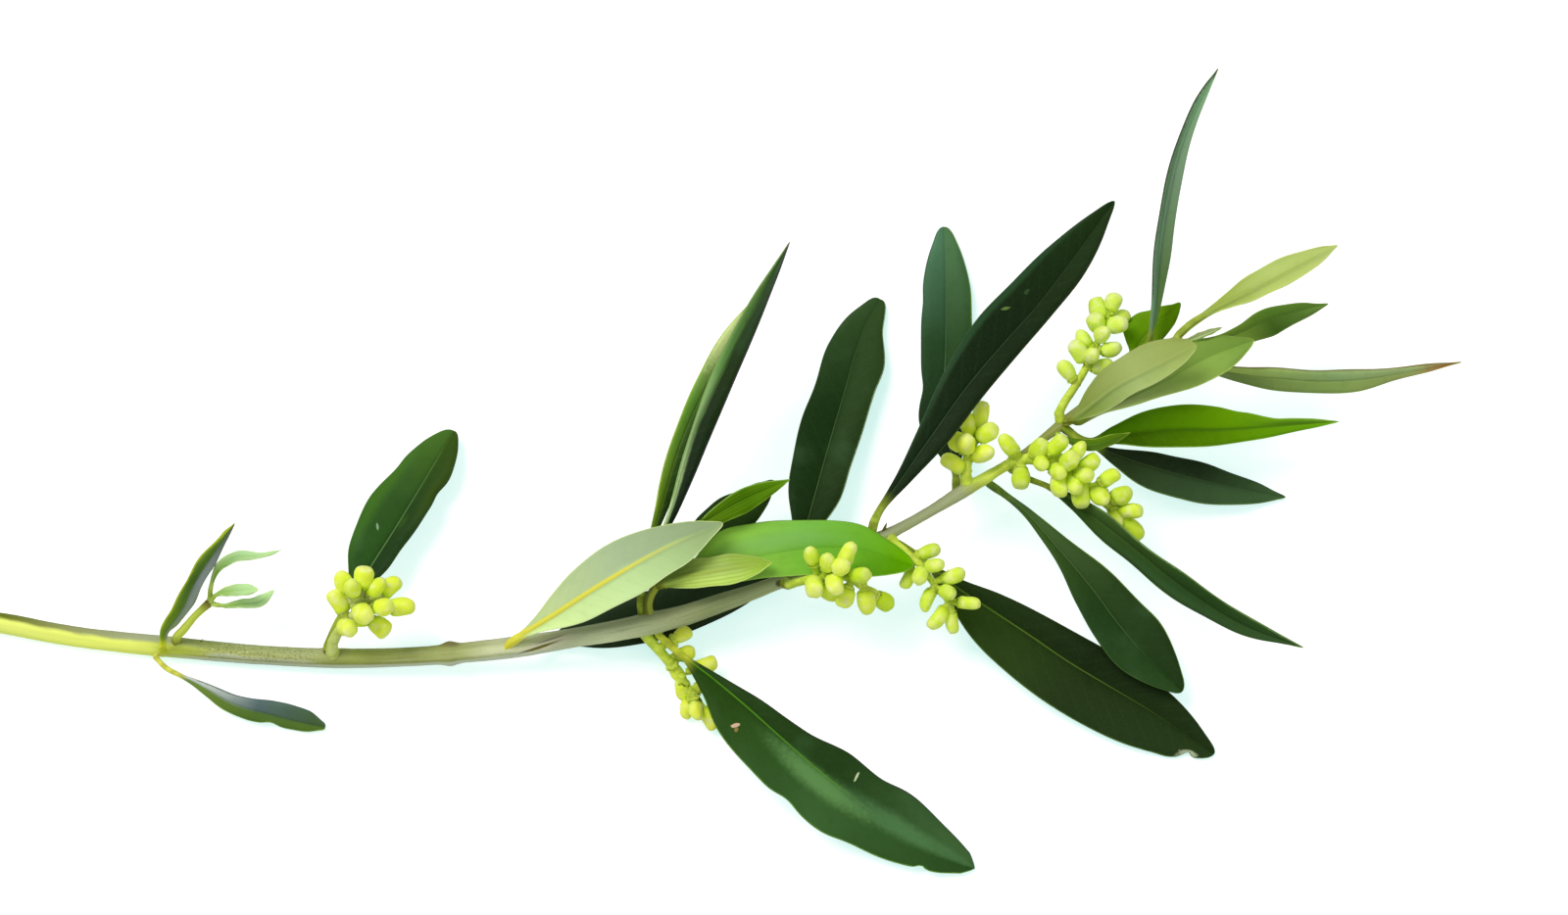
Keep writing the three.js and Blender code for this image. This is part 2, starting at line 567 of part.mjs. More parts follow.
// Nine points around a blade: the left margin, three across the top, the right margin, and four
// back across the underside, the middle two on the keel under the midrib.
function bladeRing(centre, frame, leftWidth, rightWidth, fold, thickness) {
  const top = thickness / 2;
  const bottom = -top - (KEEL * thickness) / LEAF_THICKNESS;
  const across = (side, width, share, rise) => [
    side * share * width * Math.cos(fold),
    share * width * Math.sin(fold) + (share < 1 ? LEAF_CAMBER * width + rise : 0),
  ];
  return [
    across(1, leftWidth, 1, 0),
    across(1, leftWidth, 0.5, top),
    [0, top],
    across(-1, rightWidth, 0.5, top),
    across(-1, rightWidth, 1, 0),
    across(-1, rightWidth, 0.5, -top),
    [-KEEL_HALF_WIDTH, bottom],
    [KEEL_HALF_WIDTH, bottom],
    across(1, leftWidth, 0.5, -top),
  ].map(([toLeft, toUp]) => pointOff(centre, frame, toLeft, toUp));
}

function leafGeometry(leaf) {
  const { rib, stalk, left, right, roll } = leaf;
  const { girth = LEAF_STALK_RADIUS, tip = LEAF_TIP, fold = LEAF_FOLD } = leaf;
  const curve = curveThrough(rib);
  const scale = Math.max(...left, ...right) < SMALL_LEAF_WIDTH ? SMALL_LEAF_SCALE : 1;
  const stalkRadius = girth * scale;
  const startU = firstClear(curve, stalkRadius);
  const bladeU = Math.max(stalk / curve.getLength(), startU + 0.05);
  const leftWidth = widthAlong(left, tip, stalkRadius);
  const rightWidth = widthAlong(right, tip, stalkRadius);
  const stalkRings = STALK_STATIONS.map((share) => {
    const u = lerp(startU, bladeU, share);
    return roundRing(curve.getPointAt(u), frameAt(curve, u, roll[0]), LEAF_RING_ANGLES, () => stalkRadius);
  });
  const bladeRings = BLADE_STATIONS.map((share) => {
    const u = lerp(bladeU, 1, share);
    const centre = curve.getPointAt(u);
    const frame = frameAt(curve, u, lerp(roll[0], roll[1], share));
    const thinning = share > THIN_TIP ? 1 - (share - THIN_TIP) * 6 : 1;
    const thickness = LEAF_THICKNESS * scale * thinning;
    const round = roundRing(centre, frame, LEAF_RING_ANGLES, () => stalkRadius);
    const flat = bladeRing(centre, frame, leftWidth(share), rightWidth(share), degToRad(fold), thickness);
    const flatness = smoothstep(share, -FULL_BLADE / 3, FULL_BLADE);
    return round.map((point, k) => point.lerp(flat[k], flatness));
  });
  const start = curve.getPointAt(startU).addScaledVector(curve.getTangentAt(startU), -END_DOME);
  return skin([...stalkRings, ...bladeRings], start, curve.getPointAt(1));
}

// ---------------------------------------------------------------- bud clusters

const BUD_OUTLINE = [[0.1, 0.6], [0.5, 1], [0.85, 0.7]];   // [share of length, share of radius], to the tip
const FORK_BACK = 1.2;           // a bud's stalk forks off this far short of the nearest point
const SPRING_SAMPLES = 60;

function toSolid(geometry) {
  return new wasm.Manifold(new wasm.Mesh({
    numProp: 3,
    vertProperties: Float32Array.from(geometry.getAttribute('position').array),
    triVerts: Uint32Array.from(geometry.index.array),
  }));
}

function fromSolid(solid) {
  const { vertProperties, triVerts } = solid.getMesh();
  const geometry = new THREE.BufferGeometry();
  geometry.setAttribute('position', new THREE.BufferAttribute(vertProperties, 3));
  geometry.setIndex(new THREE.BufferAttribute(triVerts, 1));
  return geometry;
}

function budGeometry(centre, direction) {
  const start = centre.clone().addScaledVector(direction, -BUD_LENGTH / 2);
  const end = centre.clone().addScaledVector(direction, BUD_LENGTH / 2);
  const axis = new THREE.LineCurve3(start, end);
  const angles = anglesAround(BUD_SIDES);
  const rings = BUD_OUTLINE.map(([share, girth]) =>
    roundRing(axis.getPoint(share), frameAt(axis, share), angles, () => girth * BUD_RADIUS));
  return skin(rings, start, end);
}

// The point of the main stalk that a bud's own stalk springs from.
function springPoint(curve, centre, startU) {
  let best = startU;
  for (let k = 0; k <= SPRING_SAMPLES; k++) {
    const u = lerp(startU, 1, k / SPRING_SAMPLES);
    if (curve.getPointAt(u).distanceTo(centre) < curve.getPointAt(best).distanceTo(centre)) best = u;
  }
  const back = FORK_BACK / curve.getLength();
  return curve.getPointAt(Math.max(startU + back, best - back));
}

function clusterGeometry({ stalk, buds, girth = PEDUNCLE_RADIUS }) {
  const curve = curveThrough(stalk);
  const startU = firstClear(curve, girth);
  const taper = (u) => lerp(girth, PEDICEL_RADIUS, (u - startU) / (1 - startU));
  let solid = toSolid(tube(curve, startU, stalk.length + 2, BUD_SIDES, taper));
  for (const place of buds) {
    const centre = vector(place);
    const spring = springPoint(curve, centre, startU);
    const direction = centre.clone().sub(spring).normalize();
    const pedicel = tube(new THREE.LineCurve3(spring, centre), 0, 2, PEDICEL_SIDES, () => PEDICEL_RADIUS);
    solid = solid.add(toSolid(pedicel)).add(toSolid(budGeometry(centre, direction)));
  }
  return fromSolid(solid);
}

// ---------------------------------------------------------------- the assembly

const branch = new THREE.Group();

function addPiece(name, geometry, finishName) {
  const mesh = new THREE.Mesh(geometry, finish(finishName));
  mesh.name = name;
  branch.add(mesh);
}

addPiece(MAIN_STEM.name, woodGeometry(MAIN_STEM, STEM_STATIONS, 0), MAIN_STEM.finish);
for (const shoot of SIDE_SHOOTS) addPiece(shoot.name, woodGeometry(shoot, SHOOT_STATIONS), shoot.finish);
for (const leaf of LEAVES) addPiece(leaf.name, leafGeometry(leaf), leaf.finish);
for (const cluster of BUD_CLUSTERS) addPiece(cluster.name, clusterGeometry(cluster), 'bud');

// The origin is the middle of the footprint, on the surface that the branch lies on.
const box = new THREE.Box3().setFromObject(branch, true);
const middle = box.getCenter(new THREE.Vector3());
for (const piece of branch.children) piece.position.set(-middle.x, -middle.y, -box.min.z);

export default branch;
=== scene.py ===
"""Looks of a cut olive branch in bud, lying on a pale surface and seen from above.

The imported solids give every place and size: their rows of points are read back, and each leaf, stem and
bud cluster is rebuilt finer around them, in metres, in the same frame.
"""
import functools
import json
import math

import bmesh
import bpy
import numpy as np
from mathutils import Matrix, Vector, noise


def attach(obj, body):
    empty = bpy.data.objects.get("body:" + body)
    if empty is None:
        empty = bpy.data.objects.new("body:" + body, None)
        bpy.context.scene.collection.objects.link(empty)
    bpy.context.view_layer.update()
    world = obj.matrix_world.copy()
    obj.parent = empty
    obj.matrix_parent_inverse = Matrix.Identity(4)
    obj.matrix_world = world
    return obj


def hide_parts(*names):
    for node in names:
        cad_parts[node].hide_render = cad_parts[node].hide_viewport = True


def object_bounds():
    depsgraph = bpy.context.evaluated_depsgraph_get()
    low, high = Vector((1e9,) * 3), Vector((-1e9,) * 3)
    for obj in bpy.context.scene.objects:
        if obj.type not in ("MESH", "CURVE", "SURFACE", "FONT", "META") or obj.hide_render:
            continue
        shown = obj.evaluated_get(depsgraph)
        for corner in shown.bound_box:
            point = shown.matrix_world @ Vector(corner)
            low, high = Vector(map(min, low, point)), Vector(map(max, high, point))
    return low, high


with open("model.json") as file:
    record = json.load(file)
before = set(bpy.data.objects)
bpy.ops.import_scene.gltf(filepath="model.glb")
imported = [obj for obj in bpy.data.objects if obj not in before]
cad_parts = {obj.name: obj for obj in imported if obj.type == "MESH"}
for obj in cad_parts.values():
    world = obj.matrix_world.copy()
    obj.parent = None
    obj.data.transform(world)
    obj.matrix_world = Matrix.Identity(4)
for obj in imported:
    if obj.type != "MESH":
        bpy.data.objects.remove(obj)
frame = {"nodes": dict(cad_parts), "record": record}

CAD_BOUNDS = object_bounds()
SLOTS = {row["node"]: row["material_slot"] for row in frame["record"]["subparts"]}
MM = 0.001
LENGTH = CAD_BOUNDS[1][0] - CAD_BOUNDS[0][0]
WIDTH = CAD_BOUNDS[1][1] - CAD_BOUNDS[0][1]

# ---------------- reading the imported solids

LEAF_SIDES = 9                  # points in each ring of a leaf's solid
STEM_SIDES = 12
BUD_SIDES = 6
LEFT, TOP, RIGHT = 0, 2, 4      # a leaf ring's points: left margin, upper side of the rib, right margin
KEEL = [6, 7]                   # the lower side of the rib
UPPER, LOWER = (1, 3), (8, 5)   # the points between, left and right, on the upper and the lower side
FLATNESS = (0, 0, 0.16, 0.84)   # how blade-like a leaf's first rings are; the rest are wholly blade
BLADE_DEPTH = 1.78              # depth of a leaf's solid over its midrib, in blade thicknesses
BUD_LENGTH = 4.4 * MM
BUD_RADIUS = 1.5 * MM
BUD_CAP = (0.15 * BUD_LENGTH, 0.7 * BUD_RADIUS)  # height and radius of the cone that ends a bud's solid
END_DOME = 0.25 * MM            # height of the cone that closes a stalk's solid
STALK_RADII = (0.45 * MM, 0.8 * MM)  # the least and most that a cluster's stalk has at the wood
CLOSE = 0.03 * MM
SAME = 0.001 * MM               # points nearer than this are one


def norm(vectors):
    return np.linalg.norm(vectors, axis=-1)


def unit(vectors):
    return vectors / norm(vectors)[..., None]


def welded(node):
    """A node's points, each once, and each point's set of neighbours."""
    mesh = frame["nodes"][node].data
    corners = np.array([v.co for v in mesh.vertices], float)
    cells, owner = np.unique(np.round(corners / SAME), axis=0, return_inverse=True)
    owner = owner.ravel()
    points = np.zeros((len(cells), 3))
    points[owner] = corners
    near = [set() for _ in cells]
    for polygon in mesh.polygons:
        around = [owner[v] for v in polygon.vertices]
        for a, b in zip(around, around[1:] + around[:1]):
            if a != b:
                near[a].add(b)
                near[b].add(a)
    return points, near


def rows_from(start, near):
    """The points at 0, 1, 2 ... edges from the start."""
    rows, seen = [[start]], {start}
    while rows[-1]:
        ahead = {b for a in rows[-1] for b in near[a]} - seen
        seen |= ahead
        rows.append(sorted(ahead))
    return rows[:-1]


def ends_of(points, near, sides):
    """The two end points of a ringed solid, the one with the rounder ring first."""
    ends = [k for k, others in enumerate(near) if len(others) == sides]
    return sorted(ends, key=lambda k: np.ptp(norm(points[list(near[k])] - points[k])))


def ring_in_order(ring, near, points, ahead):
    """One ring's points in turn, clockwise when seen along the direction ahead."""
    order, left = [ring[0]], set(ring[1:])
    while left:
        following = next(iter(near[order[-1]] & left))
        order.append(following)
        left.discard(following)
    around = points[order] - points[order].mean(0)
    turn = np.cross(around, np.roll(around, -1, 0)).sum(0) @ ahead
    return order if turn > 0 else order[::-1]


def leaf_rings(node):
    """The rings of a leaf's solid, from its stalk to its tip, each from the left margin over the top."""
    points, near = welded(node)
    start = ends_of(points, near, LEAF_SIDES)[0]
    rows = rows_from(start, near)
    order = ring_in_order(rows[1], near, points, points[rows[2]].mean(0) - points[rows[1]].mean(0))
    rings = [order]
    for row in rows[2:-1]:
        above = [near[k] & set(row) for k in order]
        order = [next(iter(above[k] - above[(k + 1) % LEAF_SIDES])) for k in range(LEAF_SIDES)]
        rings.append(order)
    rings = points[np.array(rings)]
    spans = norm(rings - np.roll(rings, -RIGHT, axis=1))
    return np.roll(rings, -np.unravel_index(spans.argmax(), spans.shape)[1], axis=1), points[rows[-1][0]]


def tube_axis(node):
    """The centres and radii of a woody solid's rings, from its cut end or its base."""
    points, near = welded(node)
    ends = ends_of(points, near, STEM_SIDES)
    start = min(ends, key=lambda k: points[k][2 if node != "main_stem" else 0])
    rings = [points[row] for row in rows_from(start, near)[1:-1]]
    centres = np.array([ring.mean(0) for ring in rings])
    radii = np.array([norm(ring - c).mean() for ring, c in zip(rings, centres)])
    return centres, radii


def bud_tips(node):
    """The tip and the direction of each bud of a cluster's solid. A neighbouring bud may hide part of the
    cone that ends it, so any three of its edges will do."""
    points, near = welded(node)
    height, girth = BUD_CAP
    slant = math.hypot(height, girth)
    tips = []
    for k, others in enumerate(near):
        edges = points[list(others)] - points[k]
        reach = norm(edges)
        edges = edges[np.abs(reach - slant) < 0.3 * CLOSE]
        if len(edges) < 3:
            continue
        direction, _, rank, _ = np.linalg.lstsq(edges, np.full(len(edges), -height), rcond=None)
        if rank == 3 and abs(norm(direction) - 1) < 0.02:
            tips.append((points[k], unit(direction)))
    return tips


def cluster_base(node):
    """The lower end of a cluster's main stalk, its direction and its radius."""
    points, near = welded(node)
    for k, others in enumerate(near):
        if len(others) != BUD_SIDES:
            continue
        ring = points[list(others)]
        middle = ring.mean(0)
        girths = norm(ring - middle)
        round_ring = STALK_RADII[0] < girths.mean() < STALK_RADII[1] and np.ptp(girths) < CLOSE
        if round_ring and abs(norm(points[k] - middle) - END_DOME) < CLOSE:
            return points[k], unit(middle - points[k]), girths.mean()
    raise ValueError(node + " has no round base")


# ---------------- curves and meshes


def lengths_along(points):
    """How far along their line each of the points is."""
    return np.concatenate([[0], np.cumsum(norm(np.diff(points, axis=0)))])


def smooth_through(knots, values, places):
    """Values at places on a smooth curve through the values at the knots."""
    slopes = np.gradient(values, knots, axis=0)
    k = np.clip(np.searchsorted(knots, places, side="right") - 1, 0, len(knots) - 2)
    width = knots[k + 1] - knots[k]
    t = (places - knots[k]) / width
    extra = (slice(None),) + (None,) * (values.ndim - 1)
    width, t = width[extra], t[extra]
    rest = 1 - t
    return (
        values[k] * (1 + 2 * t) * rest**2
        + values[k + 1] * (3 - 2 * t) * t**2
        + slopes[k] * width * t * rest**2
        - slopes[k + 1] * width * rest * t**2
    )


def step(low, high, x):
    """0 below low, 1 above high and smooth between."""
    t = np.clip((x - low) / (high - low), 0, 1)
    return t * t * (3 - 2 * t)


def tube_mesh(loops, start, end):
    """Points and faces of a row of loops, closed by a fan around a point at each end. The faces look out if
    each loop runs clockwise seen along the row."""
    rows, columns = loops.shape[:2]
    last = (rows - 1) * columns
    faces = []
    for c in range(columns):
        d = (c + 1) % columns
        faces += [(r + c, r + d, r + columns + d, r + columns + c) for r in range(0, last, columns)]
        faces += [(last + columns, d, c), (last + columns + 1, last + c, last + d)]
    return np.concatenate([loops.reshape(-1, 3), [start, end]]), faces


def joined(parts):
    """One mesh from several, each of which is its points, its faces and its points' values by name."""
    starts = np.cumsum([0] + [len(points) for points, _, _ in parts])
    points = np.concatenate([points for points, _, _ in parts])
    faces = [tuple(v + start for v in face) for start, part in zip(starts, parts) for face in part[1]]
    return points, faces, {key: np.concatenate([part[2][key] for part in parts]) for key in parts[0][2]}


def linked(name, data):
    """A new object in the scene."""
    thing = bpy.data.objects.new(name, data)
    bpy.context.scene.collection.objects.link(thing)
    return thing


def add_piece(node, material, points, faces, values):
    """A smooth mesh that rides on the branch and stands for its CAD node. values are point attributes."""
    mesh = bpy.data.meshes.new(node + "_fine")
    mesh.from_pydata([tuple(p) for p in points], [], faces)
    for key, numbers in values.items():
        mesh.attributes.new(key, "FLOAT", "POINT").data.foreach_set("value", np.asarray(numbers, np.float32))
    mesh.polygons.foreach_set("use_smooth", [True] * len(mesh.polygons))
    mesh.materials.append(material)
    mesh.update()
    piece = linked(node + "_fine", mesh)
    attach(piece, "root")
    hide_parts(node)


# ---------------- where the stalks meet the wood

KNOT = {"bark": 0.14 * MM, "green_shoot": 0.08 * MM}  # how far a stalk's foot swells the wood
FOOT_DEPTH = 0.35 * MM          # how deep a stalk runs into the wood
WOOD_STEP = 0.2 * MM            # between the places known along the wood
FOOT_PLACES = (1, 0.8, 0.6, 0.4, 0.2)  # of the rings that carry a stalk on, as shares of the way to its foot
OTHER_WOOD = {"leaf_06": "main_stem", "side_shoot_1": "main_stem", "side_shoot_2": "main_stem"}
FOOT_SHIFT = {"leaf_04": (-1.5 * MM, -2.3 * MM, 0)}  # moves the place that a foot lies nearest to


def fine_axis(node):
    """Finely spaced centres and radii along a woody node."""
    centres, radii = tube_axis(node)
    knots = lengths_along(centres)
    places = np.linspace(0, knots[-1], int(knots[-1] / WOOD_STEP))
    return smooth_through(knots, centres, places), smooth_through(knots, radii, places)


WOOD = {node: fine_axis(node) for node, slot in SLOTS.items() if slot in KNOT}


def stalk_start(node):
    """Where a leaf's, a cluster's or a shoot's stalk begins in its solid."""
    if node in WOOD:
        return WOOD[node][0][0]
    return leaf_rings(node)[0][0].mean(0) if "leaf" in node else cluster_base(node)[0]


def foot_of(node):
    """The woody node that a stalk springs from, and the point just inside that wood where it ends."""
    start = stalk_start(node) + FOOT_SHIFT.get(node, 0)
    hosts = [OTHER_WOOD[node]] if node in OTHER_WOOD else list(WOOD)
    gaps = {w: (norm(WOOD[w][0] - start) - WOOD[w][1]) for w in hosts}
    host = min(gaps, key=lambda w: gaps[w].min())
    k = gaps[host].argmin()
    centre, radius = WOOD[host][0][k], WOOD[host][1][k]
    return host, centre + unit(start - centre) * (radius - FOOT_DEPTH)


def run_in(ring, back, foot, flare):
    """Rings that carry a stalk on from its first ring, whose back looks towards the wood, to its foot."""
    start = ring.mean(0)
    bend = start + back * 0.5 * norm(foot - start)
    rings = []
    for t in FOOT_PLACES:
        centre = (1 - t) ** 2 * start + 2 * t * (1 - t) * bend + t * t * foot
        ahead = unit((1 - t) * (bend - start) + t * (foot - bend))
        turn = np.array(Vector(back).rotation_difference(Vector(ahead)).to_matrix())
        rings.append(centre + (ring - start) @ turn.T * (1 + (flare - 1) * t * t))
    return np.array(rings)


# ---------------- materials


def rgb(code, share=1):
    """A linear colour from six hex digits, with each part taken down to a share of itself."""
    parts = [(code >> shift & 255) * share / 255 for shift in (16, 8, 0)]
    return tuple(c / 12.92 if c <= 0.04045 else ((c + 0.055) / 1.055) ** 2.4 for c in parts) + (1,)


def feed(tree, node, inputs):
    """Set each of a node's inputs to a value, or link it to what comes out of another node."""
    for key, value in inputs.items():
        if isinstance(value, bpy.types.NodeSocket):
            tree.links.new(value, node.inputs[key])
        else:
            node.inputs[key].default_value = value


def add_node(tree, kind, inputs, **settings):
    node = tree.nodes.new("ShaderNode" + kind)
    for key, value in settings.items():
        setattr(node, key, value)
    feed(tree, node, inputs)
    return node


class Shader:
    """A Principled material, and short ways to add nodes to it."""

    def __init__(self, name, roughness, specular):
        self.material = bpy.data.materials.new(name)
        self.material.use_nodes = True
        self.tree = self.material.node_tree
        self.set_surface({"Roughness": roughness, "Specular IOR Level": specular})

    def set_surface(self, inputs):
        feed(self.tree, self.tree.nodes["Principled BSDF"], inputs)

    def read(self, attribute):
        return add_node(self.tree, "Attribute", {}, attribute_name=attribute).outputs["Fac"]

    def place(self):
        return add_node(self.tree, "TexCoord", {}).outputs["Object"]

    def vector(self, x, y, z):
        return add_node(self.tree, "CombineXYZ", {0: x, 1: y, 2: z}).outputs[0]

    def math(self, operation, a, b=0.0, c=0.0):
        return add_node(self.tree, "Math", {0: a, 1: b, 2: c}, operation=operation).outputs[0]

    def times(self, a, b):
        return self.math("MULTIPLY", a, b)

    def line(self, value, slope, start):
        return self.math("MULTIPLY_ADD", value, slope, start)

    def ramp(self, low, high, value):
        """0 where the value is at low or beyond, 1 at high or beyond, and smooth between."""
        inputs = {
            "Value": value, "From Min": min(low, high), "From Max": max(low, high),
            "To Min": low > high, "To Max": low < high,
        }
        return add_node(self.tree, "MapRange", inputs, interpolation_type="SMOOTHSTEP").outputs["Result"]

    def noise(self, where, size, detail, stretch=(1, 1, 1)):
        """Soft noise from 0 to 1 whose features are about as large as size."""
        mapping = add_node(self.tree, "Mapping", {"Vector": where, "Scale": stretch})
        inputs = {"Vector": mapping.outputs[0], "Scale": 1 / size, "Detail": detail}
        return add_node(self.tree, "TexNoise", inputs).outputs["Fac"]

    def mix(self, share, a, b):
        return add_node(self.tree, "Mix", {"Factor": share, 6: a, 7: b}, data_type="RGBA").outputs[2]

    def tint(self, colour, code, *shares):
        """The colour with another one over it, as strong as all the shares multiplied."""
        return self.mix(functools.reduce(self.times, shares), colour, rgb(code))

    def stops(self, value, colours):
        """The colour at a value from 0 to 1, between (place, colour) stops."""
        node = add_node(self.tree, "ValToRGB", {0: value})
        ends = node.color_ramp.elements
        for end, (place, code) in zip(ends, (colours[0], colours[-1])):
            end.position, end.color = place, rgb(code)
        for place, code in colours[1:-1]:
            ends.new(place).color = rgb(code)
        return node.outputs[0]

    def blot(self, colour, u, v, mark, ragged):
        """The colour with a mark on it: its place in u and v, its half sizes, its colour, its strength, how
        hard its edge is from 0 to 1, and how far it moves in v for u if it lies aslant. Ragged frets it."""
        at_u, at_v, wide_u, wide_v, code, strength, hardness, *slant = mark
        from_u = self.math("SUBTRACT", u, at_u)
        from_v = self.math("SUBTRACT", v, at_v)
        if slant:
            from_v = self.math("SUBTRACT", from_v, self.times(from_u, slant[0]))
        across = self.math("DIVIDE", from_u, wide_u)
        down = self.math("DIVIDE", from_v, wide_v)
        off = self.math("SQRT", self.math("ADD", self.times(across, across), self.times(down, down)))
        fret = 0.4 + 0.8 * hardness
        off = self.math("ADD", off, self.line(ragged, fret, -fret / 2))
        return self.tint(colour, code, self.ramp(1.5 - 0.4 * hardness, 0.9 * hardness, off), strength)

    def bump(self, height, strength, distance):
        node = add_node(self.tree, "Bump", {"Height": height, "Strength": strength, "Distance": distance})
        self.set_surface({"Normal": node.outputs[0]})


VEIN_SPACING = 0.07             # between side veins, as a share of the blade
VEIN_SLOPE = 24                 # how far forward a side vein runs, in blades for each metre out
GRAIN = 0.03                    # how strongly a blade is speckled with the veins' colour
LINES_ACROSS = 3.6              # lengthwise lines on half a blade
MARGIN = 0.24 * MM              # how wide a leaf's thin bright edge is
TONE_PLACES = (0.08, 0.5, 0.93)  # where on the blade a leaf's three tones are
LEAF_NOISES = ((7, 2), (2, 4), (0.35, 3), (0.7, 4))  # broad, cloudy, fine and ragged: size in mm and detail
LEAF_BUMP = (0.3, 0.07 * MM)    # strength and depth


def off_line(s, turns):
    """How far a value is from the middle of its turn."""
    return s.math("ABSOLUTE", s.math("SUBTRACT", s.math("FRACT", turns), 0.5))


def leaf_material(name, look):
    s = Shader(name, look["roughness"], look["specular"])
    along, across, aside, inset, face, stem = map(
        s.read, ("along", "across", "aside", "inset", "face", "stem")
    )
    where = s.place()
    broad, cloud, fine, ragged = (s.noise(where, size * MM, detail) for size, detail in LEAF_NOISES)
    away = s.math("ABSOLUTE", aside)
    # three tones along each half, which hold painted light and shade, and the face that is turned down
    tones = [(t,) * 3 if isinstance(t, int) else t for t in (look["left"], look["right"])]
    halves = [s.stops(along, list(zip(TONE_PLACES, t))) for t in tones]
    shown = s.mix(s.ramp(-0.22, 0.22, s.math("ADD", across, s.line(broad, 0.3, -0.15))), *halves)
    hidden = s.mix(s.ramp(0.3, 0.7, cloud), rgb(look["hidden"]), rgb(look["hidden"], 0.88))
    faces = (shown, hidden) if look["shows"] == "under" else (hidden, shown)
    colour = s.mix(s.ramp(-0.2, 0.2, face), *faces)
    # painted sheen: the sheen colour in broad noisy patches, then random darker mottling
    light, dark = look["sheen_and_mottle"]
    colour = s.tint(colour, look["sheen"], s.ramp(0.5, 0.8, broad), light)
    colour = s.tint(colour, 0x000000, s.ramp(0.5, 0.2, cloud), dark)
    # side veins, which fork off the midrib and run forward, and fine lines that run the length of the blade
    forked = s.math("ADD", along, s.line(broad, 0.05, -0.025))
    forked = s.math("SUBTRACT", forked, s.times(away, VEIN_SLOPE))
    veins = s.ramp(0.16, 0.02, off_line(s, s.math("DIVIDE", forked, VEIN_SPACING)))
    colour = s.tint(colour, look["vein"], veins, s.ramp(0.2 * MM, 0.8 * MM, inset), look["veins"])
    if look["lines"]:
        lines = s.ramp(0.3, 0.04, off_line(s, s.line(across, LINES_ACROSS, s.line(broad, 0.8, 0.1))))
        colour = s.tint(colour, look["vein"], lines, look["lines"])
    colour = s.tint(colour, look["vein"], s.ramp(0.42, 0.7, fine), GRAIN)
    for mark in look["marks"]:
        colour = s.blot(colour, along, across, mark, ragged)
    # the midrib narrows towards the tip and fades out over its reach
    rib_start, rib_end = look["rib_reach"]
    half_rib = s.line(along, -0.75 * look["rib_half"] * MM, look["rib_half"] * MM)
    on_rib = s.ramp(1.2, 0.5, s.math("DIVIDE", away, half_rib))
    colour = s.tint(colour, look["rib"], on_rib, s.ramp(rib_end, rib_start, along), look["rib_strength"])
    edges = [look["margins"]] * 2 if isinstance(look["margins"], int) else look["margins"]
    edge = s.mix(s.ramp(-0.1, 0.1, across), *map(rgb, edges))
    on_edge = s.ramp(MARGIN, 0.45 * MARGIN, s.math("ADD", inset, s.line(ragged, 0.2 * MM, -0.1 * MM)))
    colour = s.mix(s.times(on_edge, s.times(s.ramp(0, 0.05, along), 0.85)), colour, edge)
    colour = s.mix(stem, colour, s.mix(s.ramp(0.35, 0.65, cloud), *map(rgb, look["stalk"])))
    s.bump(s.line(veins, -0.22, s.times(fine, 0.35)), *LEAF_BUMP)
    shine = s.line(broad, 0.16, look["roughness"] - 0.08)
    s.set_surface({"Base Color": colour, "Roughness": s.line(s.ramp(0.2, -0.2, face), 0.2, shine)})
    return s.material


# ---------------- leaves

# Places across a half blade, from the midrib (0) to the margin (1).
HALF_ACROSS = (0, 0.03, 0.07, 0.12, 0.18, 0.26, 0.36, 0.47, 0.58, 0.69, 0.79, 0.88, 0.94, 0.98, 1)
ACROSS = np.array([-v for v in HALF_ACROSS[:0:-1]] + list(HALF_ACROSS))
MIDRIB = len(HALF_ACROSS) - 1
STATION = 0.6 * MM              # between rows of points along a leaf
LEAST_ROWS = 36
TIP_ROWS = np.array([1, 0.6, 0.3, 0.1, 0.02])  # the last rows' shares of the way back from the tip
CAD_THICKNESS = 0.45 * MM       # of the blade of a leaf of full size
STALK_END = (0.1, 0.6)          # how blade-like a leaf is where its stalk's colour ends
WAVE_PHASE = 1.7                # between the waves of one leaf's margins and the next one's
TIP_FROM = 0.85                 # where the blade starts to thin, and its waves to end
THINNED = 0.4                   # half a blade's real thickness, against the CAD blade's whole
GROOVE = (0.13 * MM, 0.3 * MM)  # depth and half width of the midrib's groove on the upper face
KEEL_SHAPE = (0.34 * MM, 0.4 * MM)  # height and half width of its keel on the lower face


def leaf_sections(rings):
    """Five points across the middle of the leaf's thickness at each ring, how blade-like each ring is, the
    stalk's radius and the blade's thickness."""
    top = rings[:, TOP]
    keel = rings[:, KEEL].mean(1)
    depth = norm(top - keel)
    radius = norm(rings[0, LEFT] - rings[0, RIGHT]) / 2
    flatness = np.ones(len(rings))
    flatness[:len(FLATNESS)] = FLATNESS
    thickness = np.where(flatness < 1, depth[len(rings) // 2], depth) / BLADE_DEPTH
    half = radius + (thickness / 2 - radius) * flatness
    middle = top - unit(top - keel) * half[:, None]
    quarters = [(rings[:, a] + rings[:, b]) / 2 for a, b in zip(UPPER, LOWER)]
    sections = np.stack([rings[:, LEFT], quarters[0], middle, quarters[1], rings[:, RIGHT]], 1)
    return sections, flatness, radius, thickness[len(rings) // 2]


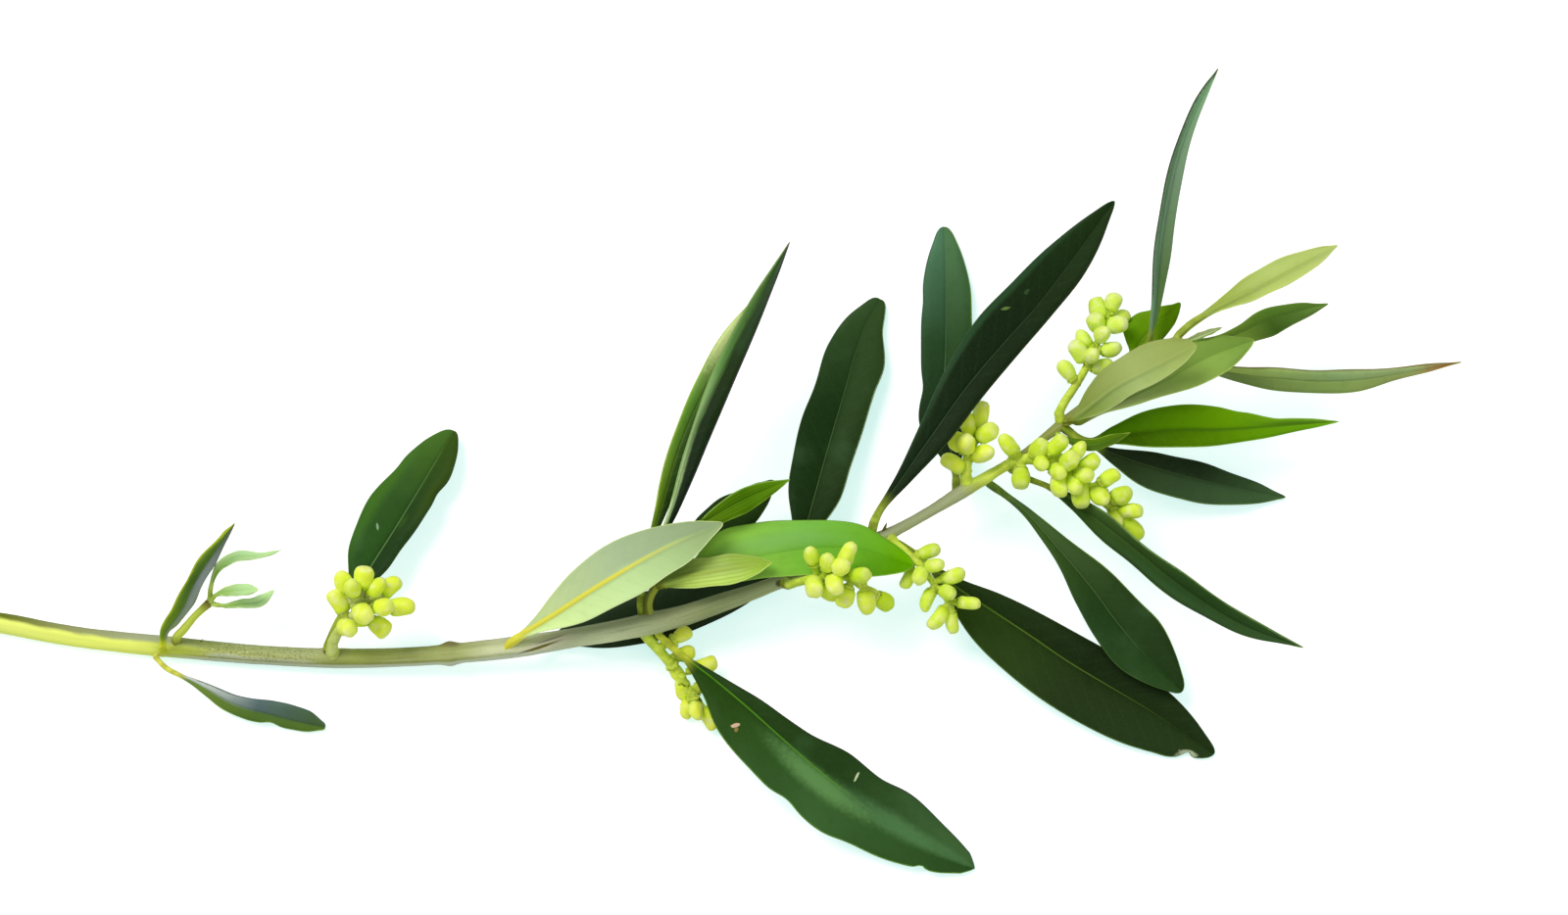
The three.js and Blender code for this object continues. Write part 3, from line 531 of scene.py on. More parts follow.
def leaf_surface(sections, flatness, tip, roundness):
    """Fine rows of points across the middle of the leaf, the shares along the blade, and the flatness."""
    knots = lengths_along(sections[:, 2])
    total = knots[-1] + norm(tip - sections[-1, 2])
    places = np.linspace(0, 1, max(LEAST_ROWS, int(total / STATION)))
    places = np.append(places[:-2], 1 - (1 - places[-2]) * TIP_ROWS) * total
    middle = smooth_through(np.append(knots, total), np.vstack([sections[:, 2], tip]), places)
    inner = np.minimum(places, knots[-1])
    shape = smooth_through(knots, sections - sections[:, 2:3], inner)
    to_tip = np.clip((places - knots[-1]) / (total - knots[-1]), 0, 1)
    shape = shape * ((1 - to_tip) ** roundness)[:, None, None]
    v = np.abs(ACROSS)[None, :, None]
    outer, quarter = (
        np.where(ACROSS[None, :, None] < 0, shape[:, a:a + 1], shape[:, b:b + 1]) for a, b in ((0, 4), (1, 3))
    )
    rows = middle[:, None] + quarter * 4 * v * (1 - v) + outer * v * (2 * v - 1)
    blade_start = knots[np.argmax(flatness > 0.5)]
    along = np.clip((places - blade_start) / (total - blade_start), 0, 1)
    return rows, along, np.clip(smooth_through(knots, flatness, inner), 0, 1)


def nicked(rows, along, nicks):
    """The rows with their margins pulled in by each nick's share of the half blade, or let out by a negative
    one. A nick is its side, -1 or 1, its place along the blade, its spread and its depth."""
    middle = rows[:, MIDRIB:MIDRIB + 1]
    widths = np.ones((len(along), len(ACROSS)))
    for side, place, spread, depth in nicks:
        bite = depth * np.exp(-(((along - place) / spread) ** 2))[:, None]
        widths -= bite * (np.sign(ACROSS) == side) * np.abs(ACROSS) ** 2
    return middle + (rows - middle) * widths[..., None]


def leaf_normals(rows, up):
    """The directions out of the leaf's upper face, which at its stalk looks up."""
    normals = np.cross(np.gradient(rows, axis=1), np.gradient(rows, axis=0))
    normals[-1] = normals[-2]
    normals = unit(normals)
    return normals if normals[0, MIDRIB] @ up > 0 else -normals


def leaf_shell(rows, along, flat, normals, radius, thickness, look):
    """The upper and the lower face of the leaf, row by row, and how far each point is from the midrib. The
    rib has a groove above and a keel below, and the margins wave and curl down."""
    aside = norm(rows - rows[:, MIDRIB:MIDRIB + 1]) * np.sign(ACROSS)
    size = thickness / CAD_THICKNESS
    here, f, v = along[:, None], flat[:, None], np.abs(ACROSS)[None]
    at_tip = step(TIP_FROM, 1.0, here)
    half = THINNED * thickness * (1 - 0.5 * at_tip)
    edge = np.sqrt(np.maximum(1 - v**6, 0))
    tube = radius * np.sqrt(np.maximum(1 - v**2, 0))
    groove = size * GROOVE[0] * np.exp(-((aside / GROOVE[1]) ** 2)) * (1 - 0.7 * here)
    keel = size * KEEL_SHAPE[0] * np.exp(-((aside / KEEL_SHAPE[1]) ** 2)) * (1 - here) ** 0.6
    swing = 2 * math.pi * look["waves"] * here + 1.3 * np.sign(ACROSS)[None] + look["phase"]
    wave = look["wave"] * MM * v**3 * np.sin(swing) * step(0.05, 0.25, here) * (1 - at_tip)
    curl = -look["curl"] * MM * step(0.7, 1.0, v) * (1 - step(0.9, 1.0, here))
    lift = (wave + curl) * f * size
    up = tube + ((half - groove) * edge - tube) * f
    down = tube + ((half + keel) * edge - tube) * f
    top = rows + normals * (lift + up)[..., None]
    bottom = rows + normals * (lift - down)[..., None]
    return top, bottom, aside


def leaf_piece(node, look):
    rings, tip = leaf_rings(node)
    sections, flatness, radius, thickness = leaf_sections(rings)
    rows, along, flat = leaf_surface(sections, flatness, tip, look["roundness"])
    rows = nicked(rows, along, look["nicks"])
    normals = leaf_normals(rows, rings[0, TOP] - rings[0, KEEL].mean(0))
    top, bottom, aside = leaf_shell(rows, along, flat, normals, radius, thickness, look)
    # each loop runs from the left margin over the top to the right one, and home underneath
    home = slice(-2, 0, -1)
    loops = np.concatenate([top, bottom[:, home]], axis=1)
    edges = np.where(ACROSS < 0, np.abs(aside[:, :1]), np.abs(aside[:, -1:]))
    around = {"across": np.broadcast_to(ACROSS, aside.shape), "aside": aside, "inset": edges - np.abs(aside)}
    values = {key: np.concatenate([numbers, numbers[:, home]], axis=1) for key, numbers in around.items()}
    face = np.concatenate([[0], np.ones(len(ACROSS) - 2), [0], -np.ones(len(ACROSS) - 2)])
    stem = 1 - step(*STALK_END, flat)
    for key, numbers in (("face", face), ("along", along[:, None]), ("stem", stem[:, None])):
        values[key] = np.broadcast_to(numbers, loops.shape[:2])
    back = unit(loops[0].mean(0) - loops[1].mean(0))
    base = run_in(loops[0], back, foot_of(node)[1], look["flare"])
    for key, numbers in values.items():
        numbers = np.concatenate([np.repeat(numbers[:1], len(base), 0), numbers])
        values[key] = np.append(numbers, [numbers[0].mean(), numbers[-1].mean()])
    mesh = tube_mesh(np.concatenate([base, loops]), base[0].mean(0), tip)
    add_piece(node, leaf_material(node, look), *mesh, values)


# What leaves of a kind have in common. Colours are six hex digits, and lengths millimetres. shows is the face
# that is turned up. left and right colour its halves, by one tone or by those at the base, the middle and
# the tip; these tones are partly the leaf's own colour and partly painted light and shade, one half lighter
# or darker by how the light falls on it. hidden colours the other face. sheen is a painted sheen laid on in
# broad patches, and sheen_and_mottle how strong it is and how strong a random darker mottling is. margins is
# one colour or two, and stalk a colour and its shade. nicks are as nicked says, and marks as blot says, along
# and across the blade; some marks are patches of painted sheen, others spots and scratches.
OLD = dict(
    shows="upper", left=0x26461a, right=0x2a481c, hidden=0x92a47a, margins=0x60802c, sheen=0x547c4e,
    sheen_and_mottle=(0.18, 0.12), vein=0x608c54, veins=0.015, lines=0, rib=0x608c3e, rib_half=0.2,
    rib_reach=(0.55, 0.95), rib_strength=0.6, stalk=(0xa4b23e, 0x849630), flare=1.3, roughness=0.5,
    specular=0.06, curl=0.25, wave=0.25, waves=3, roundness=0.6, nicks=(), marks=(),
)
YOUNG = dict(
    OLD, left=0x548006, right=0x507a04, hidden=0xa0ba6e, margins=0x96be46, sheen=0x78aa3c,
    sheen_and_mottle=(0.12, 0.08), vein=0x82af3c, veins=0.05, rib=0x80a832, rib_half=0.18, rib_strength=0.5,
    specular=0.05,
)
UNDER = dict(
    OLD, shows="under", left=0xbed08c, right=0xb4c688, hidden=0x3c6822, margins=0xced878, sheen=0xd2deaa,
    sheen_and_mottle=(0.2, 0.06), vein=0x96a560, veins=0.05, rib=0xced260, rib_half=0.3, rib_reach=(0.7, 1),
    rib_strength=0.75, stalk=(0xd6ce54, 0xc4be42), roughness=0.6, specular=0.05,
)
KINDS = {"old_leaf": OLD, "young_leaf": YOUNG, "leaf_underside": UNDER}
MINT = dict(
    left=(0xaacc6e, 0xc0e69c, 0xd0f6ac), right=(0xa0c45c, 0xb6dc94, 0xccf2a4), hidden=0xaacc8c,
    margins=(0xd6f0b0, 0xcceaa0), vein=0xbedc96, rib=0xa0c46e, stalk=(0xc0d468, 0xa4be4c), wave=0.2,
)

# How each leaf differs from its kind.
LOOKS = {
    "leaf_01": dict(
        # the grey-blue middle tone of the right half is a painted sheen
        left=(0x76981c, 0x527224, 0x6e9230), right=(0x8a9c68, 0x98a29e, 0x6e7c6c),
        margins=(0xb0ba2c, 0x5c3c3c), rib_strength=0.3, stalk=(0xe2e83c, 0xbec42e), curl=0.4,
    ),
    "leaf_02": dict(
        # the pale grey-blue base tone of the left half is a painted sheen
        left=(0xccd4ca, 0x5c7070, 0x4c663c), right=(0x6e8834, 0x52702a, 0x56722a),
        margins=(0x607074, 0x96ae3c), rib_strength=0.4, stalk=(0xe4e662, 0xbeba42), roundness=0.26,
        nicks=((1, 0.62, 0.05, 0.25), (1, 0.9, 0.08, -0.14), (-1, 0.9, 0.08, -0.14)),
    ),
    "leaf_03": dict(
        left=(0x2c521c, 0x325620, 0x4a7026), right=(0x223c1a, 0x28441a, 0x385214),
        margins=(0x548826, 0x344218), rib=0x749e5c, rib_reach=(0.8, 0.95), rib_strength=0.7, wave=0.3,
        roundness=0.45, nicks=((1, 0.62, 0.06, 0.12), (-1, 0.66, 0.09, 0.1), (-1, 0.45, 0.1, -0.05)),
        marks=(
            (0.31, -0.42, 0.016, 0.035, 0x96b492, 0.9, 0.9, -3), (0.4, 0.2, 0.05, 0.2, 0x3e6022, 0.5, 0.2),
            (0.5, -0.85, 0.4, 0.25, 0x487a1e, 0.6, 0.1), (0.6, 0.7, 0.2, 0.3, 0x405414, 0.5, 0.1),
        ),
    ),
    "leaf_04": dict(
        left=(0xe2faa8, 0xd0eca4, 0x9eb67a), right=(0xc8da9a, 0xaec296, 0x96aa7e),
        margins=(0xe6f6b0, 0xccde82), sheen=0xbecea0, rib=0xece248, rib_half=0.5, rib_reach=(0.4, 0.95),
        rib_strength=0.9, stalk=(0xeeea54, 0xe0d642), flare=0.35, wave=0.15,
        nicks=((-1, 0.18, 0.2, -0.46), (-1, 0.5, 0.18, -0.24), (-1, 0.8, 0.1, -0.14)),
    ),
    "leaf_05": dict(left=0x2c3c26, right=0x26341e, margins=(0x324226, 0x283620), sheen=0x324430),
    "leaf_06": dict(
        left=(0x64841e, 0x689a38, 0xbed47e), right=(0x223c0a, 0x426028, 0x426422),
        margins=(0xb4c860, 0x3c5028), rib_strength=0.3, stalk=(0xbed046, 0x788c28),
        marks=(
            (0.82, -0.6, 0.17, 0.55, 0xe2f2a0, 1, 0.5), (0.9, 0, 0.1, 0.3, 0xb0d274, 0.8, 0.3),
            (0.99, 0, 0.04, 1.5, 0x547628, 0.8, 0.3),
        ),
    ),
    "leaf_07": dict(
        left=(0xc4dea0, 0x709e52, 0x406028), right=(0x10220c, 0x1e3210, 0x3a5034),
        margins=(0x82a05a, 0x544c5a), rib_strength=0.3,
        marks=((0.06, -0.1, 0.14, 0.3, 0xbed89a, 0.8, 0.2),),
    ),
    "leaf_08": dict(left=0x20360c, right=0x1e340a, margins=(0x426018, 0x325014)),
    "leaf_09": dict(
        left=(0x4c7004, 0x467002, 0x649210), right=(0x587a0c, 0x4a7404, 0x608c10),
        margins=(0x96be5a, 0x8cb432), vein=0x78a032, veins=0, lines=0.2, specular=0.01,
    ),
    "leaf_10": dict(
        left=(0xa2d84c, 0x80c04e, 0x6eb002), right=(0x98c450, 0x80c03e, 0x5c9c00),
        margins=(0x78aa32, 0xaad25a), sheen=0x7ebe28, vein=0x64a028, veins=0.03, lines=0.06, rib=0x6ea630,
        rib_strength=0.35, specular=0.01, nicks=((-1, 0.86, 0.08, 0.06),),
        # the pale patch on the left half is a painted sheen
        marks=((0.35, -0.35, 0.3, 0.3, 0x8ac268, 0.6, 0.1),),
    ),
    "leaf_11": dict(
        left=(0xbed660, 0xcce870, 0xa4ca44), right=(0x96b24c, 0xaac45e, 0x96ba3e),
        margins=(0xd6ec82, 0xb4c864), vein=0x92a43e, veins=0, lines=0.4, rib=0xb0be50, rib_strength=0.4,
        stalk=(0x96a032, 0x828c28), nicks=((1, 0.1, 0.14, -0.45),),
    ),
    "leaf_12": dict(
        left=(0x264214, 0x244016, 0x406434), right=(0x28480e, 0x3c622e, 0x2c4e1e),
        margins=(0x3a2e38, 0x6e9c32), rib=0x5c9622, rib_half=0.26, rib_reach=(0.46, 0.64),
        rib_strength=0.85, stalk=(0xd6da42, 0xa4b032), wave=0.5, waves=3.5, roundness=0.8,
        nicks=(
            (1, 0.42, 0.05, 0.1), (1, 0.56, 0.06, -0.09), (1, 0.85, 0.014, 0.15), (1, 0.91, 0.05, -0.06),
            (-1, 0.36, 0.06, 0.08), (-1, 0.62, 0.06, 0.07), (-1, 0.48, 0.05, -0.04),
        ),
        marks=(
            # the first three marks are painted sheen; the others are a damage spot with its brown core and a
            # scratch
            (0.46, 0.2, 0.2, 0.26, 0x6e9e5a, 0.75, 0.3), (0.76, 0, 0.24, 0.3, 0x5c8a54, 0.75, 0.2),
            (0.92, -0.1, 0.1, 0.3, 0x4e7846, 0.6, 0.1),
            (0.165, 0.57, 0.009, 0.08, 0xe2be9c, 0.95, 0.9, -10),
            (0.176, 0.62, 0.006, 0.06, 0x967e46, 0.9, 0.8),
            (0.542, -0.54, 0.0045, 0.12, 0xcedcaa, 0.95, 0.9, 20),
        ),
    ),
    "leaf_13": dict(
        left=(0x1a3210, 0x1c3612, 0x38542a), right=(0x223616, 0x2c441e, 0x324c22),
        margins=(0x385428, 0x9eb482), rib=0x5c7848, rib_half=0.16, rib_reach=(0.6, 0.98), roundness=0.35,
        nicks=((1, 0.7, 0.08, -0.1), (1, 0.88, 0.06, 0.1), (-1, 0.55, 0.1, 0.04)),
    ),
    "leaf_14": dict(
        left=(0x182a12, 0x172811, 0x203614), right=(0x1b2a13, 0x1c2b14, 0x263a1a),
        margins=(0x3a583c, 0x425428), sheen=0x22341e, rib=0x425c3e, rib_half=0.17, rib_reach=(0.85, 1),
        rib_strength=0.75, stalk=(0xc0ce54, 0x98a838), curl=0.5,
        marks=(
            # the long band along the curled left margin is a painted sheen
            (0.5, -0.9, 0.5, 0.12, 0x305230, 0.7, 0.2), (0.52, -0.6, 0.012, 0.05, 0x6e8c46, 0.8, 0.9, 5),
            (0.6, -0.5, 0.01, 0.06, 0x38542e, 0.8, 0.9),
        ),
    ),
    "leaf_15": dict(
        left=(0x223610, 0x1a290e, 0x203210), right=(0x304812, 0x263816, 0x263a16),
        margins=(0x384624, 0x64823c), sheen=0x324624, rib=0x68882c, rib_half=0.28, rib_reach=(0.5, 0.95),
        roundness=0.5, nicks=((1, 0.93, 0.012, 0.3), (1, 0.88, 0.03, -0.05)),
        marks=((0.93, 0.85, 0.03, 0.25, 0xbec8a0, 0.85, 0.7),),
    ),
    "leaf_16": dict(
        left=(0x1a2a14, 0x2c4c2a, 0x568260), right=(0x17240e, 0x2c4c22, 0x527a4e),
        margins=(0x325038, 0x84a02c), sheen=0x446a48, rib=0x648a5e, rib_half=0.16, rib_reach=(0.5, 0.9),
        roundness=0.45, nicks=((-1, 0.3, 0.05, 0.07), (-1, 0.68, 0.05, 0.05)),
    ),
    "leaf_17": dict(
        left=(0x486432, 0x2c441c, 0x203814), right=(0x405c24, 0x24401a, 0x2c4a20),
        margins=(0x84a03c, 0x42602c), rib=0x68864e, rib_half=0.16, rib_reach=(0.6, 0.95),
        stalk=(0x6e8832, 0x486222), roundness=0.5,
    ),
    "leaf_18": dict(
        left=(0x425e26, 0x2a481a, 0x305020), right=(0x36521a, 0x2c4c22, 0x3c5a2c),
        margins=(0x789654, 0x9cb460), rib=0x426028, nicks=((-1, 0.3, 0.16, 0.28),),
        # the broad patch on the right half is a painted sheen
        marks=((0.5, 0.6, 0.4, 0.3, 0x3c5c32, 0.6, 0.1),),
    ),
    "leaf_19": dict(
        left=(0x202e14, 0x203016, 0x426036), right=(0x324422, 0x3e5834, 0x44623a),
        margins=(0x28381e, 0x6e8c46), sheen=0x2e422a, rib=0x546e42, rib_strength=0.5,
    ),
    "leaf_20": dict(
        # its tones are lighter than its own colour, to make up for the light its rolled blade misses: painted
        # light
        left=(0x588a02, 0x74aa06, 0x64941e), right=(0x466a06, 0x649404, 0x70ac0e),
        margins=(0x88b632, 0x9ece4c), rib=0x547818, rib_strength=0.35, specular=0.01,
        nicks=((-1, 0.6, 0.05, -0.12), (-1, 0.72, 0.05, 0.15)),
        marks=((0.5, 0.05, 0.34, 0.12, 0x46701a, 0.6, 0.1), (0.8, -0.3, 0.16, 0.25, 0x507c22, 0.6, 0.1)),
    ),
    "leaf_21": dict(
        left=0x5a7c04, right=0x4e6c10, margins=(0xaac846, 0x6e8c28), stalk=(0xbad446, 0x849630),
    ),
    "leaf_22": dict(
        left=(0x8aa04c, 0xb0c276, 0xa8ba62), right=(0x8c9c4a, 0xaab86c, 0x9cac58), hidden=0x608232,
        margins=(0xbecc82, 0x9ca85a), vein=0x8c9650, rib=0xa2b060, rib_half=0.22, rib_strength=0.35,
        stalk=(0x949c3e, 0x7e8232),
    ),
    "leaf_23": dict(
        left=(0xa6c666, 0x8aa84a, 0x7e9e40), right=(0xc2ce84, 0xa6c45c, 0x84a648),
        margins=(0x96b450, 0xc8e26e), sheen=0xa0be60, rib=0x749238, stalk=(0x96a446, 0x849630),
    ),
    "leaf_24": dict(
        # its tones are lighter than its own colour, to make up for the shade it lies in: painted light
        left=(0x6ea006, 0x709a10, 0x5c8804), right=(0x72921a, 0x567e04, 0x588204),
        margins=(0x7ca632, 0x648c1e), specular=0.01, roundness=0.45,
    ),
    "leaf_25": dict(
        # its pale blue-green tones are a painted sheen over its own green
        left=(0x709470, 0x80a27e, 0x8abc84), right=(0x628246, 0x8aa882, 0x9cca94),
        margins=(0x3e4434, 0x96ac6e), sheen=0x7ca27a, rib=0x486642, rib_half=0.16, rib_strength=0.15,
        wave=0.1, nicks=((1, 0.55, 0.25, 0.24), (-1, 0.55, 0.25, 0.18), (1, 0.85, 0.12, 0.1)),
        marks=(
            (0.45, -0.75, 0.5, 0.25, 0x486842, 0.7, 0.1), (0.1, -0.3, 0.12, 0.5, 0x54744c, 0.6, 0.1),
            (0.98, 0, 0.04, 0.8, 0x546038, 0.8, 0.3),
        ),
    ),
    "leaf_26": dict(
        left=(0xacc05a, 0xc4d472, 0xc0d076), right=(0xa6b854, 0xbed074, 0xb8ca6c), hidden=0x789632,
        margins=(0xd8e296, 0xd0da82), vein=0xb0c064, rib=0xa2b452, rib_half=0.13, rib_strength=0.6,
        stalk=(0xb8c854, 0x9cac3c),
    ),
    "leaf_27": dict(
        left=(0x708a30, 0x587c26, 0x5e822e), right=(0x8aa842, 0x4a6a1e, 0x6e923e),
        margins=(0x8caa50, 0x6e8c3c), sheen=0x6e9042, rib=0x688a36,
    ),
    "leaf_28": dict(
        left=(0xb0c662, 0x9cb876, 0xb4c480), right=(0x7c904e, 0x8ea858, 0xa0a662),
        margins=(0x847846, 0xb8cc64), sheen=0xa6be86, rib=0x70863e, rib_half=0.16, rib_strength=0.5,
        roundness=0.42, marks=((0.96, 0, 0.12, 1.6, 0xa26c38, 0.95, 0.2),),
    ),
    "leaf_29": dict(left=0xb0b87e, right=0xc0c89a, stalk=(0xaab46e, 0x8c904c)),
    "young_leaf_1": dict(MINT, left=(0x9ec068, 0xbce2a0, 0xc8f0a6), right=(0x769c34, 0xacd28e, 0xccf2a4)),
    "young_leaf_2": MINT,
    "young_leaf_3": dict(MINT, left=(0xbcde82, 0xcef4aa, 0xd8fcb4), stalk=(0xd2e478, 0xa4be4c)),
}


def build_leaves():
    for number, node in enumerate(n for n in SLOTS if "leaf" in n):
        leaf_piece(node, {**KINDS[SLOTS[node]], "phase": WAVE_PHASE * number, **LOOKS[node]})


# ---------------- wood

BARK_SURFACE = (0.62, 0.1)      # roughness and specular level
# Streaks, blots and specks: size, detail and stretch.
BARK_NOISES = ((0.5, 4, (0.05, 1, 1)), (1.6, 3, (0.5, 1, 1)), (0.32, 3, (0.7, 1, 1)))
BARK_BUMP = (0.45, 0.14 * MM)   # strength and depth
BARK_STATION = 0.45 * MM
BARK_SIDES = 60
KNOT_REACH = 1.3 * MM           # how far along the wood a stalk's foot swells it

# Colours along the stem, from its cut end to its last leaves: low on its near side, and high on its far side.
# They are partly the bark's own colours and partly painted light and shade, such as the bright near side of
# the young end, a painted lit ridge.
NEAR_BARK = (
    (0, 0xf6fe82), (0.15, 0xf8ff74), (0.185, 0xd8e45a), (0.215, 0xbac270), (0.285, 0xb6bc7a),
    (0.31, 0xa2aa54), (0.4, 0xb4ba72), (0.425, 0xe0e4b2), (0.48, 0xced2a4), (0.51, 0xdee6b4),
    (0.55, 0xbac28e), (0.59, 0x9ca670), (0.643, 0xb0ba84), (0.8, 0xb8be8e), (0.812, 0xc4d25a),
    (0.825, 0xf0ff64), (0.843, 0xeefc54), (0.853, 0xa2aa52), (1, 0x9c9e4c),
)
FAR_BARK = (
    (0, 0x606804), (0.05, 0x707a16), (0.1, 0x9ca062), (0.16, 0xacb288), (0.2, 0x9ca85e), (0.29, 0xa8b076),
    (0.32, 0x98a250), (0.4, 0xa0a864), (0.43, 0xbec294), (0.52, 0xb4bc8c), (0.6, 0x9ca472), (0.8, 0xb8bc90),
    (0.812, 0xcee058), (0.843, 0xcede54), (0.855, 0x969c54), (1, 0x8e904a),
)
SHOOTS = {
    "side_shoot_1": (
        ((0, 0x78702e), (0.09, 0xb0ba46), (0.2, 0xdcea5c), (0.82, 0xd8e658), (1, 0x847a34)),
        ((0, 0x686028), (0.14, 0xaab646), (0.82, 0xbecc4c), (1, 0x6e642c)),
    ),
    "side_shoot_2": (
        ((0, 0xb0ba46), (1, 0xa8b03c)),
        ((0, 0x808832), (1, 0x787c2c)),
    ),
}

# Marks on the bark, as blot says, by the share along the stem and the angle up from its near side.
BARK_MARKS = (
    (0.459, 0.78, 0.03, 0.55, 0xeae2c6, 0.9, 0.3, 26),
    (0.459, 0.78, 0.02, 0.17, 0x807c34, 1, 0.85, 26),
    (0.47, 1.5, 0.012, 0.12, 0x968468, 0.7, 0.5, 20),
    (0.393, 2.3, 0.008, 0.45, 0x70623a, 0.75, 0.5),
    (0.393, 0.05, 0.012, 0.25, 0x70582e, 0.85, 0.6),
    (0.3, 2, 0.004, 0.5, 0x5c4622, 0.85, 0.7),
    (0.6465, 1.1, 0.003, 0.5, 0x544422, 0.85, 0.7),
    (0.222, 0.9, 0.016, 0.28, 0xced0b8, 0.7, 0.4),
    (0.262, 0.75, 0.03, 0.22, 0xccccb8, 0.6, 0.4),
    (0.19, 1.1, 0.02, 0.35, 0xb8c04a, 0.6, 0.2),
)
# A slit scar: the same place, half sizes and slant, with its depth.
SCAR = ((0.459, 0.8), (0.02, 0.17), 26, 0.32 * MM)
# Swellings of the stem: share along it, angle and height.
NODES = ((0.393, 2.4, 0.6 * MM), (0.393, -0.1, 0.42 * MM), (0.31, 2.6, 0.12 * MM))
# Small stubs on the stem: share along it, angle, length and radius.
STUBS = ((0.7335, 2.35, 1.5 * MM, 0.34 * MM), (0.2, 2.3, 0.9 * MM, 0.14 * MM))
STUB_LEAN = 0.8
STUB_SIDES = 10
STUB_SHARES = np.array([0, 0.4, 0.75, 1])
STUB_DEPTH = 0.3 * MM           # how deep a stub runs into the wood
SHOOT_FLARE = 1.3               # of a side shoot's foot


def bark_relief(place, angle, radius):
    """How far the bark stands proud at one point: soft ridges along the wood, and fine roughness."""
    around = Vector((0, math.cos(angle), math.sin(angle)))
    broad = noise.noise(around * 2 + Vector((place * 90, 0, 0)))
    ridges = noise.noise(around * 6 + Vector((place * 220, 5, 0)))
    fine = noise.noise(around * 5 + Vector((place * 900, 0, 9)))
    return radius * (0.05 * broad + 0.02 * ridges) + 0.03 * MM * fine


def scar_depth(along, angles):
    """How deep the slit scar is at each point of the bark, and below 0 on the low lips beside it."""
    (share, angle), (half_share, half_angle), slant, depth = SCAR
    u = (along - share)[:, None] / half_share
    v = (angles[None] - angle - (along - share)[:, None] * slant) / half_angle
    return depth * np.exp(-(u**4) - v**2) - 0.4 * depth * np.exp(-(u**4) - (np.abs(v) - 1.8) ** 2)


def stub(root, out, ahead, length, thickness):
    """The rings of a short blunt cone that leans forward out of the wood."""
    way = unit(out + STUB_LEAN * ahead)
    side = unit(np.cross(way, ahead))
    other = np.cross(way, side)
    turns = 2 * math.pi * np.arange(STUB_SIDES)[:, None] / STUB_SIDES
    ring = side * np.cos(turns) + other * np.sin(turns)
    wide = thickness * (1 - 0.85 * STUB_SHARES**1.5)
    spine = root + way * STUB_SHARES[:, None] * length
    return spine[:, None] + wide[:, None, None] * ring


def stem_piece(node, material, knots):
    main = node == "main_stem"
    centres, radii = tube_axis(node)
    if not main:
        centres = np.vstack([foot_of(node)[1], centres])
        radii = np.append(SHOOT_FLARE * radii[0], radii)
    lengths = lengths_along(centres)
    places = np.linspace(0, lengths[-1], int(lengths[-1] / BARK_STATION))
    along = places / lengths[-1]
    axis = smooth_through(lengths, centres, places)
    radius = smooth_through(lengths, radii, places)
    ahead = unit(np.gradient(axis, axis=0))
    up = unit(np.array([0, 0, 1.0]) - ahead * ahead[:, 2:3])
    right = np.cross(ahead, up)
    angles = math.pi - 2 * math.pi * np.arange(BARK_SIDES) / BARK_SIDES
    outward = right[:, None] * np.cos(angles)[:, None] + up[:, None] * np.sin(angles)[:, None]
    relief = np.array([[bark_relief(p, a, r) for a in angles] for p, r in zip(places, radius)])

    def spot_at(share, angle):
        here = int(share * (len(places) - 1))
        return here, right[here] * math.cos(angle) + up[here] * math.sin(angle)

    bumps = []
    for spot, size in knots:
        here = np.argmin(norm(spot - axis))
        to = spot - axis[here]
        bumps.append((here, unit(to - ahead[here] * (to @ ahead[here])), size))
    if main:
        relief -= scar_depth(along, angles)
        bumps += [(*spot_at(share, angle), size) for share, angle, size in NODES]
    swell = np.zeros(relief.shape)
    for here, side, size in bumps:
        near = np.exp(-(((places - places[here]) / KNOT_REACH) ** 2))[:, None]
        swell = np.maximum(swell, size * near * (0.25 + 0.75 * np.clip(outward @ side, 0, 1) ** 2))
    girth = radius[:, None] * (1 + 0.02 * np.cos(4 * angles))
    loops = axis[:, None] + outward * (girth + swell + relief)[..., None]
    # what the bark's material reads, over the loops and at the two end points
    grids = {
        "along": (along[:, None], (0, 1)), "run": (places[:, None], (0, places[-1])),
        "turn": (angles, (0, 0)), "cosine": (np.cos(angles), (0, 0)), "sine": (np.sin(angles), (0, 0)),
        "swell": (swell / MM, (0, 0)), "cut": (0, (1, 0)),
    }
    values = {key: np.append(np.broadcast_to(grid, swell.shape), ends) for key, (grid, ends) in grids.items()}
    mesh = tube_mesh(loops, axis[0] - ahead[0] * 0.1 * MM, axis[-1] + ahead[-1] * 0.5 * MM)
    parts = [(*mesh, values)]
    for share, angle, length, thickness in STUBS if main else ():
        here, out = spot_at(share, angle)
        root = axis[here] + out * (radius[here] - STUB_DEPTH)
        rings = stub(root, out, ahead[here], length + STUB_DEPTH, thickness)
        points, faces = tube_mesh(rings, rings[0].mean(0), rings[-1].mean(0))
        own = {"along": share, "cut": -1}
        parts.append((points, faces, {key: np.full(len(points), own.get(key, 0)) for key in values}))
    add_piece(node, material, *joined(parts))


